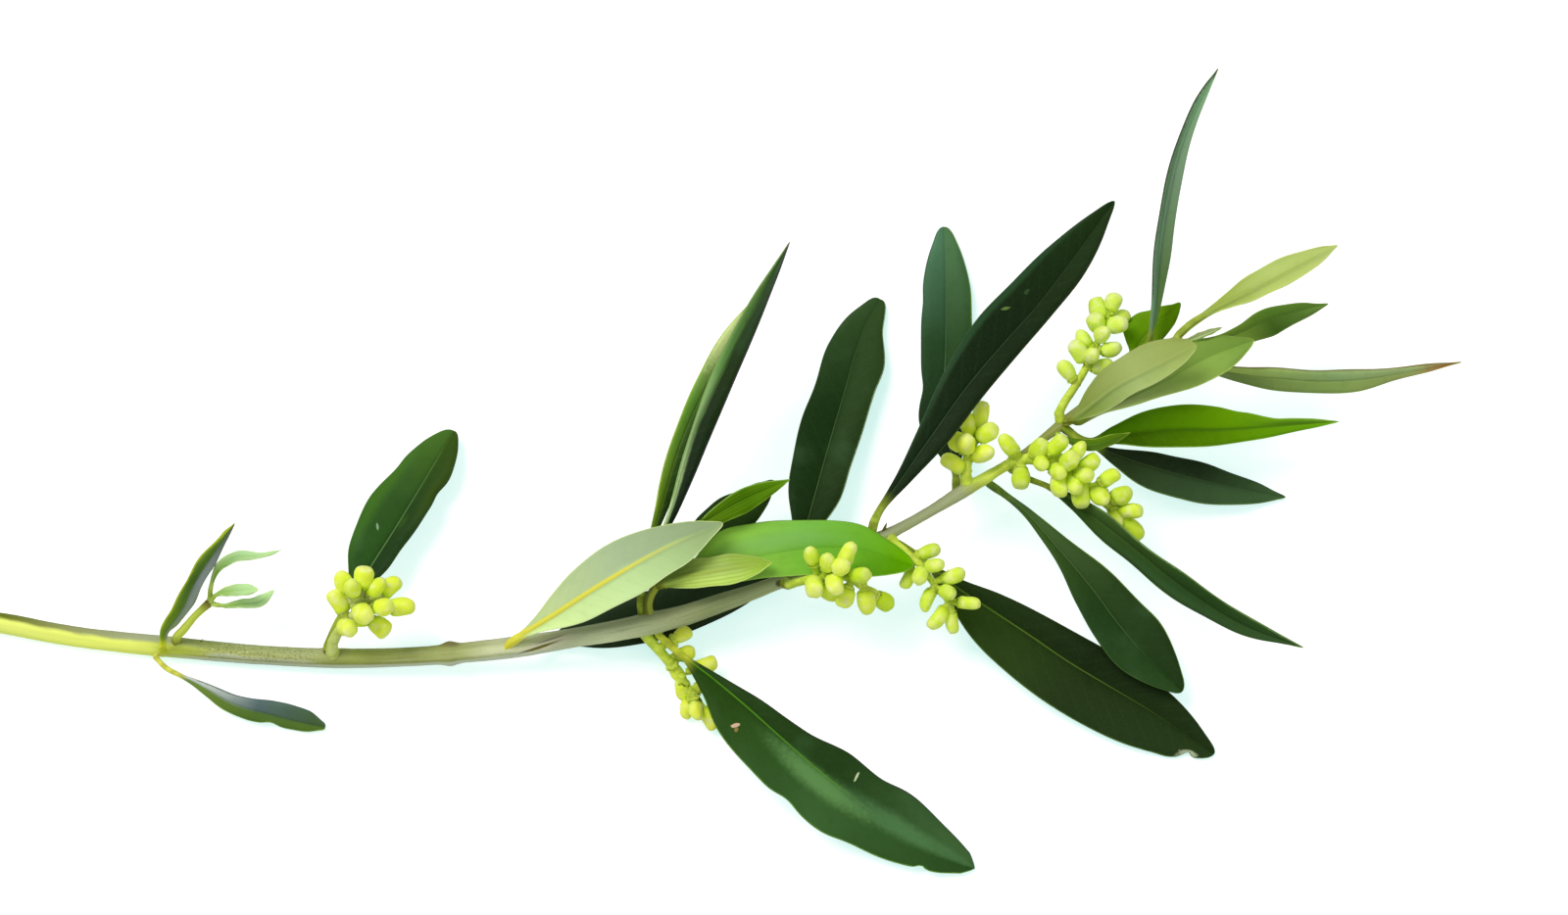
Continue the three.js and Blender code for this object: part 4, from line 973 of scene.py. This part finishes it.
def bark_material(name, near, far, marks, woody):
    """Bark whose near side has one row of colours and its far side another, which hold painted light and
    shade as well as the bark's own colours. woody is 1 for dry greyish bark and 0 for smooth green."""
    s = Shader(name, *BARK_SURFACE)
    along, run, turn, sine, cosine, swell, cut = map(
        s.read, ("along", "run", "turn", "sine", "cosine", "swell", "cut")
    )
    wrapped = s.vector(s.times(run, 1 / MM), s.times(cosine, 2.0), s.times(sine, 2.0))
    streaks, blots, specks = (s.noise(wrapped, *noise_look) for noise_look in BARK_NOISES)
    side = s.math("ADD", cosine, s.line(blots, 0.4, -0.2))
    if woody:
        # the bright lower band of the young end, a painted lit ridge, narrows as the grey bark starts
        side = s.math("ADD", side, s.line(s.ramp(0.0, 0.17, along), -0.35, 0.2))
    colour = s.mix(s.ramp(0.15, -0.4, side), s.stops(along, near), s.stops(along, far))
    dry = s.times(s.ramp(0.16, 0.21, along), woody)
    rough = s.times(s.times(s.ramp(0.19, 0.215, along), s.ramp(0.3, 0.285, along)), woody)
    for code, low, high in ((0xcec8ac, 0.52, 0.75), (0x7c764a, 0.48, 0.28)):
        colour = s.tint(colour, code, s.ramp(low, high, streaks), s.line(dry, 0.3, 0.08))
    for code, low, high, most in ((0xe0dece, 0.6, 0.7, 0.65), (0x6e5c34, 0.43, 0.35, 0.6)):
        colour = s.tint(colour, code, s.ramp(low, high, specks), s.line(rough, most, s.times(dry, 0.1)))
    colour = s.tint(colour, 0x9c9a54, s.ramp(0.05, 0.13, swell), 0.14)
    for mark in marks:
        colour = s.blot(colour, along, turn, mark, blots)
    # a dark upper edge of painted shade, and on the older bark an olive band above a pale lower rim
    colour = s.tint(colour, 0x5c6028, s.ramp(-0.82, -0.98, cosine), 0.6)
    band = s.ramp(0.45, 0.72, side), s.ramp(0.98, 0.86, cosine), s.ramp(0.5, 0.4, along)
    colour = s.tint(colour, 0x707a36, *band, s.times(dry, 0.5))
    rim = s.ramp(0.82, 0.94, cosine), s.ramp(0.52, 0.44, along)
    colour = s.tint(colour, 0xccd2b8, *rim, s.times(dry, 0.85))
    # the cut end, and the stubs' dry wood
    colour = s.tint(colour, 0xd6d896, s.ramp(0.3, 0.7, cut))
    colour = s.tint(colour, 0x80743c, s.ramp(-0.3, -0.7, cut))
    s.bump(s.line(specks, 0.4, streaks), *BARK_BUMP)
    s.set_surface({"Base Color": colour})
    return s.material


def build_wood():
    knots = {node: [] for node in WOOD}
    for node in SLOTS:
        if node != "main_stem":
            host = foot_of(node)[0]
            knots[host].append((stalk_start(node), KNOT[SLOTS[host]]))
    for node in WOOD:
        if node == "main_stem":
            material = bark_material("bark", NEAR_BARK, FAR_BARK, BARK_MARKS, 1.0)
        else:
            material = bark_material(node, *SHOOTS[node], (), 0.0)
        stem_piece(node, material, knots[node])


# ---------------- bud clusters

BUD_SURFACE = (0.45, 0.16)      # roughness and specular level
BUD_BUMP = (0.2, 0.06 * MM)     # strength and depth
BUD_DEPTHS = {
    "Subsurface Weight": 0.25, "Subsurface Radius": (0.8 * MM, 1.0 * MM, 0.3 * MM), "Subsurface Scale": 1.0,
}
STALK_VOXEL = 0.16 * MM
STALK_REACH = 0.8 * MM          # how far the piece that carries a main stalk on overlaps it
STALK_FLARE = 1.35              # of a main stalk's foot
STALK_SMOOTHINGS = 6
STALK_SKIN = 0.06 * MM          # what the voxels and the smoothing take off a stalk
BUD_STATIONS = 20
BUD_AROUND = 24
NECK = (1.3 * MM, 0.5 * MM)     # length and radius of the thick end of a bud's stalk
NECK_RINGS = 5
CALYX = 0.2                     # how far up a bud its calyx cup reaches
ASKEW = (0.3, 0.5, 0.81)        # a direction that no bud has
USUAL_PLUMP = 0.16              # of a cluster whose buds' necks are as thick as NECK says
FAR_RISE = 99.0                 # a bud's height above the stalk's brown foot, in mm, which is never near it
SCRAP = 60                      # points in a scrap of skin too small to keep


def bud_rows(tip, direction, seed, size, spare):
    """One closed bud on its stalk's end, ring by ring: the stalk, a calyx cup, and four petals that meet in a
    cross. size is its length and its girth against the solid's, and spare how much thicker its neck is."""
    side = unit(np.cross(direction, ASKEW))
    other = np.cross(side, direction)
    # buds differ a little in length, girth, bluntness, lean and bend
    length = BUD_LENGTH * size[0] * (1 + 0.12 * math.sin(seed * 7.3))
    radius = BUD_RADIUS * size[1] * (1 + 0.1 * math.sin(seed * 12.9))
    blunt = 2.7 + 0.7 * math.sin(seed * 4.7)
    lean = 0.26 * math.sin(seed * 2.3)
    bend = 0.07 * math.sin(seed * 3.1)
    neck = np.linspace(-NECK[0] / length, 0, NECK_RINGS, endpoint=False)
    shares = np.append(neck, (1 - np.cos(np.linspace(0, math.pi, BUD_STATIONS))) / 2)
    angles = 2 * math.pi * np.arange(BUD_AROUND) / BUD_AROUND
    u = np.abs((np.clip(shares, 0, 1) - 0.5) / 0.5)
    girth = radius * np.maximum(1 - u**blunt, 0) ** (1 / blunt) * (0.97 + lean * (shares - 0.5))
    neck = (NECK[1] + spare) * (1 + 0.25 * step(-0.2, 0.05, shares))
    girth = np.maximum(girth, np.where(shares < CALYX, neck, 0))
    petals = 1 - 0.12 * step(0.55, 1.0, shares)[:, None] * np.abs(np.cos(2 * angles + seed))[None] ** 5
    rim = CALYX + 0.035 * np.cos(4 * angles)[None]
    in_calyx = step(-0.15, 0.02, shares[:, None]) * (1 - step(0, 0.05, shares[:, None] - rim))
    shift = Vector((seed * 7, 0, seed))
    lumps = [
        [noise.noise(Vector((1.3 * math.cos(a), 1.3 * math.sin(a), 2.2 * t)) + shift) for a in angles]
        for t in shares
    ]
    lumps = 0.09 * np.array(lumps) * step(0, CALYX, shares)[:, None]
    r = girth[:, None] * petals * (1 + 0.06 * in_calyx + lumps)
    bow = bend * BUD_LENGTH * np.sin(math.pi * np.clip(shares, 0, 1))
    spine = tip - direction * BUD_LENGTH / 2 + direction * ((shares - 0.5) * length)[:, None]
    spine = spine + side * bow[:, None]
    rows = spine[:, None] + side * (r * np.cos(angles))[..., None] - other * (r * np.sin(angles))[..., None]
    return rows, shares, in_calyx


def loose_scraps(bm):
    """The points of every patch of skin that is too small to be a stalk."""
    left, scraps = set(bm.verts), []
    while left:
        island = [left.pop()]
        for v in island:
            ahead = {e.other_vert(v) for e in v.link_edges} & left
            left -= ahead
            island += ahead
        if len(island) < SCRAP:
            scraps += island
    return scraps


def evened(node):
    """The cluster's solid, with its main stalk carried into the wood, as fine even points and faces."""
    mesh = frame["nodes"][node].data.copy()
    base, ahead, radius = cluster_base(node)
    foot = foot_of(node)[1]
    top = base + ahead * STALK_REACH
    bm = bmesh.new()
    bm.from_mesh(mesh)
    bmesh.ops.remove_doubles(bm, verts=bm.verts, dist=SAME)
    turn = Vector(top - foot).to_track_quat("Z", "Y").to_matrix().to_4x4()
    turn.translation = Vector((top + foot) / 2)
    bmesh.ops.create_cone(
        bm, cap_ends=True, segments=16, radius1=STALK_FLARE * radius, radius2=radius, depth=norm(top - foot),
        matrix=turn,
    )
    bm.to_mesh(mesh)
    bm.free()
    piece = linked(node + "_scratch", mesh)
    remesh = piece.modifiers.new("even", "REMESH")
    remesh.mode = "VOXEL"
    remesh.voxel_size = STALK_VOXEL
    bpy.context.view_layer.update()
    even = piece.evaluated_get(bpy.context.evaluated_depsgraph_get()).to_mesh()
    points = np.array([v.co for v in even.vertices], float)
    faces = [tuple(p.vertices) for p in even.polygons]
    bpy.data.objects.remove(piece)
    bpy.data.meshes.remove(mesh)
    return points, faces


def cluster_stalks(node, tips, plump):
    """The cluster's stalks as one smooth closed mesh, with its buds taken off."""
    points, faces = evened(node)
    inside = np.zeros(len(points), bool)
    for tip, direction in tips:
        from_middle = points - (tip - direction * BUD_LENGTH / 2)
        height = from_middle @ direction
        girth = norm(from_middle - height[:, None] * direction)
        inside |= (height / (0.86 * BUD_LENGTH / 2)) ** 2 + (girth / (1.02 * BUD_RADIUS)) ** 2 < 1
        inside |= (np.abs(height - 0.09 * BUD_LENGTH) < 0.41 * BUD_LENGTH) & (girth < 1.15 * BUD_RADIUS)
    bm = bmesh.new()
    made = {}
    for face in faces:
        if inside[list(face)].any():
            continue
        for v in face:
            if v not in made:
                made[v] = bm.verts.new(points[v])
        bm.faces.new([made[v] for v in face])
    bmesh.ops.holes_fill(bm, edges=[e for e in bm.edges if e.is_boundary], sides=0)
    for _ in range(STALK_SMOOTHINGS):
        bmesh.ops.smooth_vert(
            bm, verts=bm.verts, factor=0.5, use_axis_x=True, use_axis_y=True, use_axis_z=True
        )
    bm.normal_update()
    for v in bm.verts:
        v.co += v.normal * (STALK_SKIN + plump * MM)
    bmesh.ops.delete(bm, geom=loose_scraps(bm), context="VERTS")
    bmesh.ops.triangulate(bm, faces=[f for f in bm.faces if len(f.verts) > 4])
    bm.verts.index_update()
    stalks = np.array([v.co for v in bm.verts]), [tuple(v.index for v in f.verts) for f in bm.faces]
    bm.free()
    return stalks


def cluster_piece(node, look, number):
    tips = bud_tips(node)
    points, faces = cluster_stalks(node, tips, look["plump"])
    nothing = np.zeros(len(points))
    rise = norm(points - cluster_base(node)[0]) / MM
    parts = [(points, faces, {"ripe": nothing - 1, "calyx": nothing, "tint": nothing, "rise": rise})]
    for k, (tip, direction) in enumerate(tips):
        seed = 0.7 * k + number + 0.3
        spare = (look["plump"] - USUAL_PLUMP) * MM
        rows, shares, in_calyx = bud_rows(tip, direction, seed, look["size"], spare)
        points, faces = tube_mesh(rows[:-1], rows[0].mean(0), rows[-1].mean(0))
        ripe = np.where(shares < 0, -1, shares)
        # painted shade: the listed buds take the shade colour wholly, and the others lean towards it by a
        # random share
        shaded = 1.0 if k in look["shaded"] else 0.35 + 0.35 * math.sin(9.1 * k + number)
        parts.append((points, faces, {
            "ripe": np.append(np.repeat(ripe[:-1], BUD_AROUND), [-1, 1]),
            "calyx": np.append(in_calyx[:-1], [0, 0]),
            "tint": np.full(len(points), shaded),
            "rise": np.full(len(points), FAR_RISE),
        }))
    add_piece(node, bud_material(node, look), *joined(parts))


def bud_material(name, look):
    s = Shader(name, *BUD_SURFACE)
    ripe, calyx, tint, rise = map(s.read, ("ripe", "calyx", "tint", "rise"))
    where = s.place()
    soft, fine = s.noise(where, 1.4 * MM, 3), s.noise(where, 0.22 * MM, 2)
    # painted light: highlight patches where the noise is high, painted shade by each bud's tint share and
    # towards its base, and a painted highlight towards its tip
    skin = s.mix(s.ramp(0.45, 0.8, soft), rgb(look["bright"]), rgb(look["lit"]))
    skin = s.tint(skin, look["shade"], s.ramp(0.4, 1.0, tint), 0.7)
    skin = s.tint(skin, look["shade"], s.ramp(0.35, 0.0, ripe), 0.6)
    skin = s.tint(skin, look["lit"], s.ramp(0.8, 1.0, ripe), 0.28)
    skin = s.tint(skin, 0xcee818, calyx, 0.3)
    stalk, stalk_shade = map(rgb, look["stalk"])
    colour = s.mix(s.ramp(-0.6, -0.05, ripe), s.mix(s.ramp(0.35, 0.7, soft), stalk_shade, stalk), skin)
    # fine pale specks: painted glints
    colour = s.tint(colour, 0xf6fcb8, s.ramp(0.62, 0.8, fine), 0.15)
    colour = s.tint(colour, 0x604c24, s.ramp(1.3, 0.6, rise), look["collar"])
    s.bump(s.line(soft, 0.8, fine), *BUD_BUMP)
    s.set_surface({"Base Color": colour, **BUD_DEPTHS})
    return s.material


# size is a bud's length and girth against the solid's, plump how many millimetres thicker the stalks are,
# shaded numbers the buds in deep shade, which take the shade colour wholly as painted shade, and collar is
# how brown the foot of the main stalk is.
FRESH = dict(
    bright=0xf0ff48, lit=0xfeffb0, shade=0xc2e208, stalk=(0xdef05a, 0xc0d63e), size=(0.86, 0.95), plump=0.16,
    shaded=(), collar=0.15,
)
CLUSTER_LOOKS = {
    "bud_cluster_1": dict(FRESH, stalk=(0xd8e284, 0xbeca64), size=(0.92, 1.04), collar=0.3, plump=0.3),
    "bud_cluster_2": dict(
        FRESH, bright=0xf6ff54, lit=0xfcffbe, shade=0xe6ff28, size=(0.82, 0.86), plump=0.36
    ),
    "bud_cluster_3": dict(FRESH, bright=0xeeff54, size=(0.92, 1.0), shaded=(9, 10), collar=0.75, plump=0.26),
    "bud_cluster_4": dict(FRESH, bright=0xe4fa52, shade=0xb0ce08, size=(0.92, 0.82)),
    "bud_cluster_5": dict(FRESH, size=(1.0, 1.02), plump=0.4),
    "bud_cluster_6": dict(FRESH, bright=0xe2f842, shade=0xa6c404, size=(0.9, 0.98), plump=0.44),
    "bud_cluster_7": dict(FRESH, bright=0xe6fc62, lit=0xfcffc8, size=(0.86, 0.96), plump=0.22),
}


def build_clusters():
    for number, (node, look) in enumerate(CLUSTER_LOOKS.items()):
        cluster_piece(node, look, number)


# ---------------- stage, light and camera

FLOOR_HALF = 3.0
FLOOR_WHITE = (0.8, 0.84, 0.83, 1)  # what the branch is lit by
FLOOR_SHADE, FLOOR_GLOW = (0.92, 0.5, 0.55, 1), (0.44, 0.76, 0.72, 1)  # these add up to what the camera sees
SKY, SKY_STRENGTH = (0.93, 1, 0.99, 1), 0.42
LAMPS = {                       # place, size, power and colour
    "key": ((-0.85, 0.5, 1.7), 1.1, 22, (1, 0.99, 0.97)),
    "fill": ((1.1, -0.8, 1.6), 1.2, 6, (0.97, 1, 1)),
}
LENS, SENSOR = 70, 36
CAMERA_ELEVATION = math.radians(70)
CAMERA_REACH = 2.04 * LENGTH    # from the point on the surface that it looks at
AIM = (0.0526 * LENGTH, 0.0343 * WIDTH, 0)  # that point, from the middle of the footprint


def split_view(tree, plain, seen, output):
    """Show one shader to the camera, and the plain one to all other rays."""
    path = add_node(tree, "LightPath", {})
    inputs = {0: path.outputs["Is Camera Ray"], 1: plain.outputs[0], 2: seen.outputs[0]}
    feed(tree, output, {0: add_node(tree, "MixShader", inputs).outputs[0]})


def build_floor():
    """A white surface. What the camera sees of it is plain white where it is fully lit, and its shade is pale
    sea green."""
    material = bpy.data.materials.new("floor")
    material.use_nodes = True
    tree = material.node_tree
    tree.nodes.clear()
    shade = add_node(tree, "BsdfDiffuse", {"Color": FLOOR_SHADE})
    glow = add_node(tree, "Emission", {"Color": FLOOR_GLOW})
    seen = add_node(tree, "AddShader", {0: shade.outputs[0], 1: glow.outputs[0]})
    plain = add_node(tree, "BsdfDiffuse", {"Color": FLOOR_WHITE})
    split_view(tree, plain, seen, add_node(tree, "OutputMaterial", {}))
    h = FLOOR_HALF
    mesh = bpy.data.meshes.new("floor")
    mesh.from_pydata([(-h, -h, 0), (h, -h, 0), (h, h, 0), (-h, h, 0)], [], [(0, 1, 2, 3)])
    mesh.materials.append(material)
    floor = linked("floor", mesh)


def build_lights():
    for name, (place, size, power, colour) in LAMPS.items():
        data = bpy.data.lights.new(name, "AREA")
        data.shape, data.size, data.energy, data.color = "DISK", size, power, colour
        lamp = linked(name, data)
        lamp.location = place
        lamp.rotation_euler = (-Vector(place)).to_track_quat("-Z", "Y").to_euler()
    world = bpy.data.worlds.new("studio")
    bpy.context.scene.world = world
    world.use_nodes = True
    tree = world.node_tree
    sky = tree.nodes["Background"]
    feed(tree, sky, {"Color": SKY, "Strength": SKY_STRENGTH})
    split_view(tree, sky, add_node(tree, "Background", {"Color": (1, 1, 1, 1)}), tree.nodes["World Output"])


def build_camera():
    data = bpy.data.cameras.new("camera")
    data.lens, data.sensor_width = LENS, SENSOR
    camera = linked("camera", data)
    back = Vector((0, -math.cos(CAMERA_ELEVATION), math.sin(CAMERA_ELEVATION)))
    camera.location = Vector(AIM) + back * CAMERA_REACH
    camera.rotation_euler = (math.pi / 2 - CAMERA_ELEVATION, 0, 0)
    bpy.context.scene.camera = camera


build_camera()
build_leaves()
build_wood()
build_clusters()
build_floor()
build_lights()
bpy.context.scene.view_settings.view_transform = "Standard"
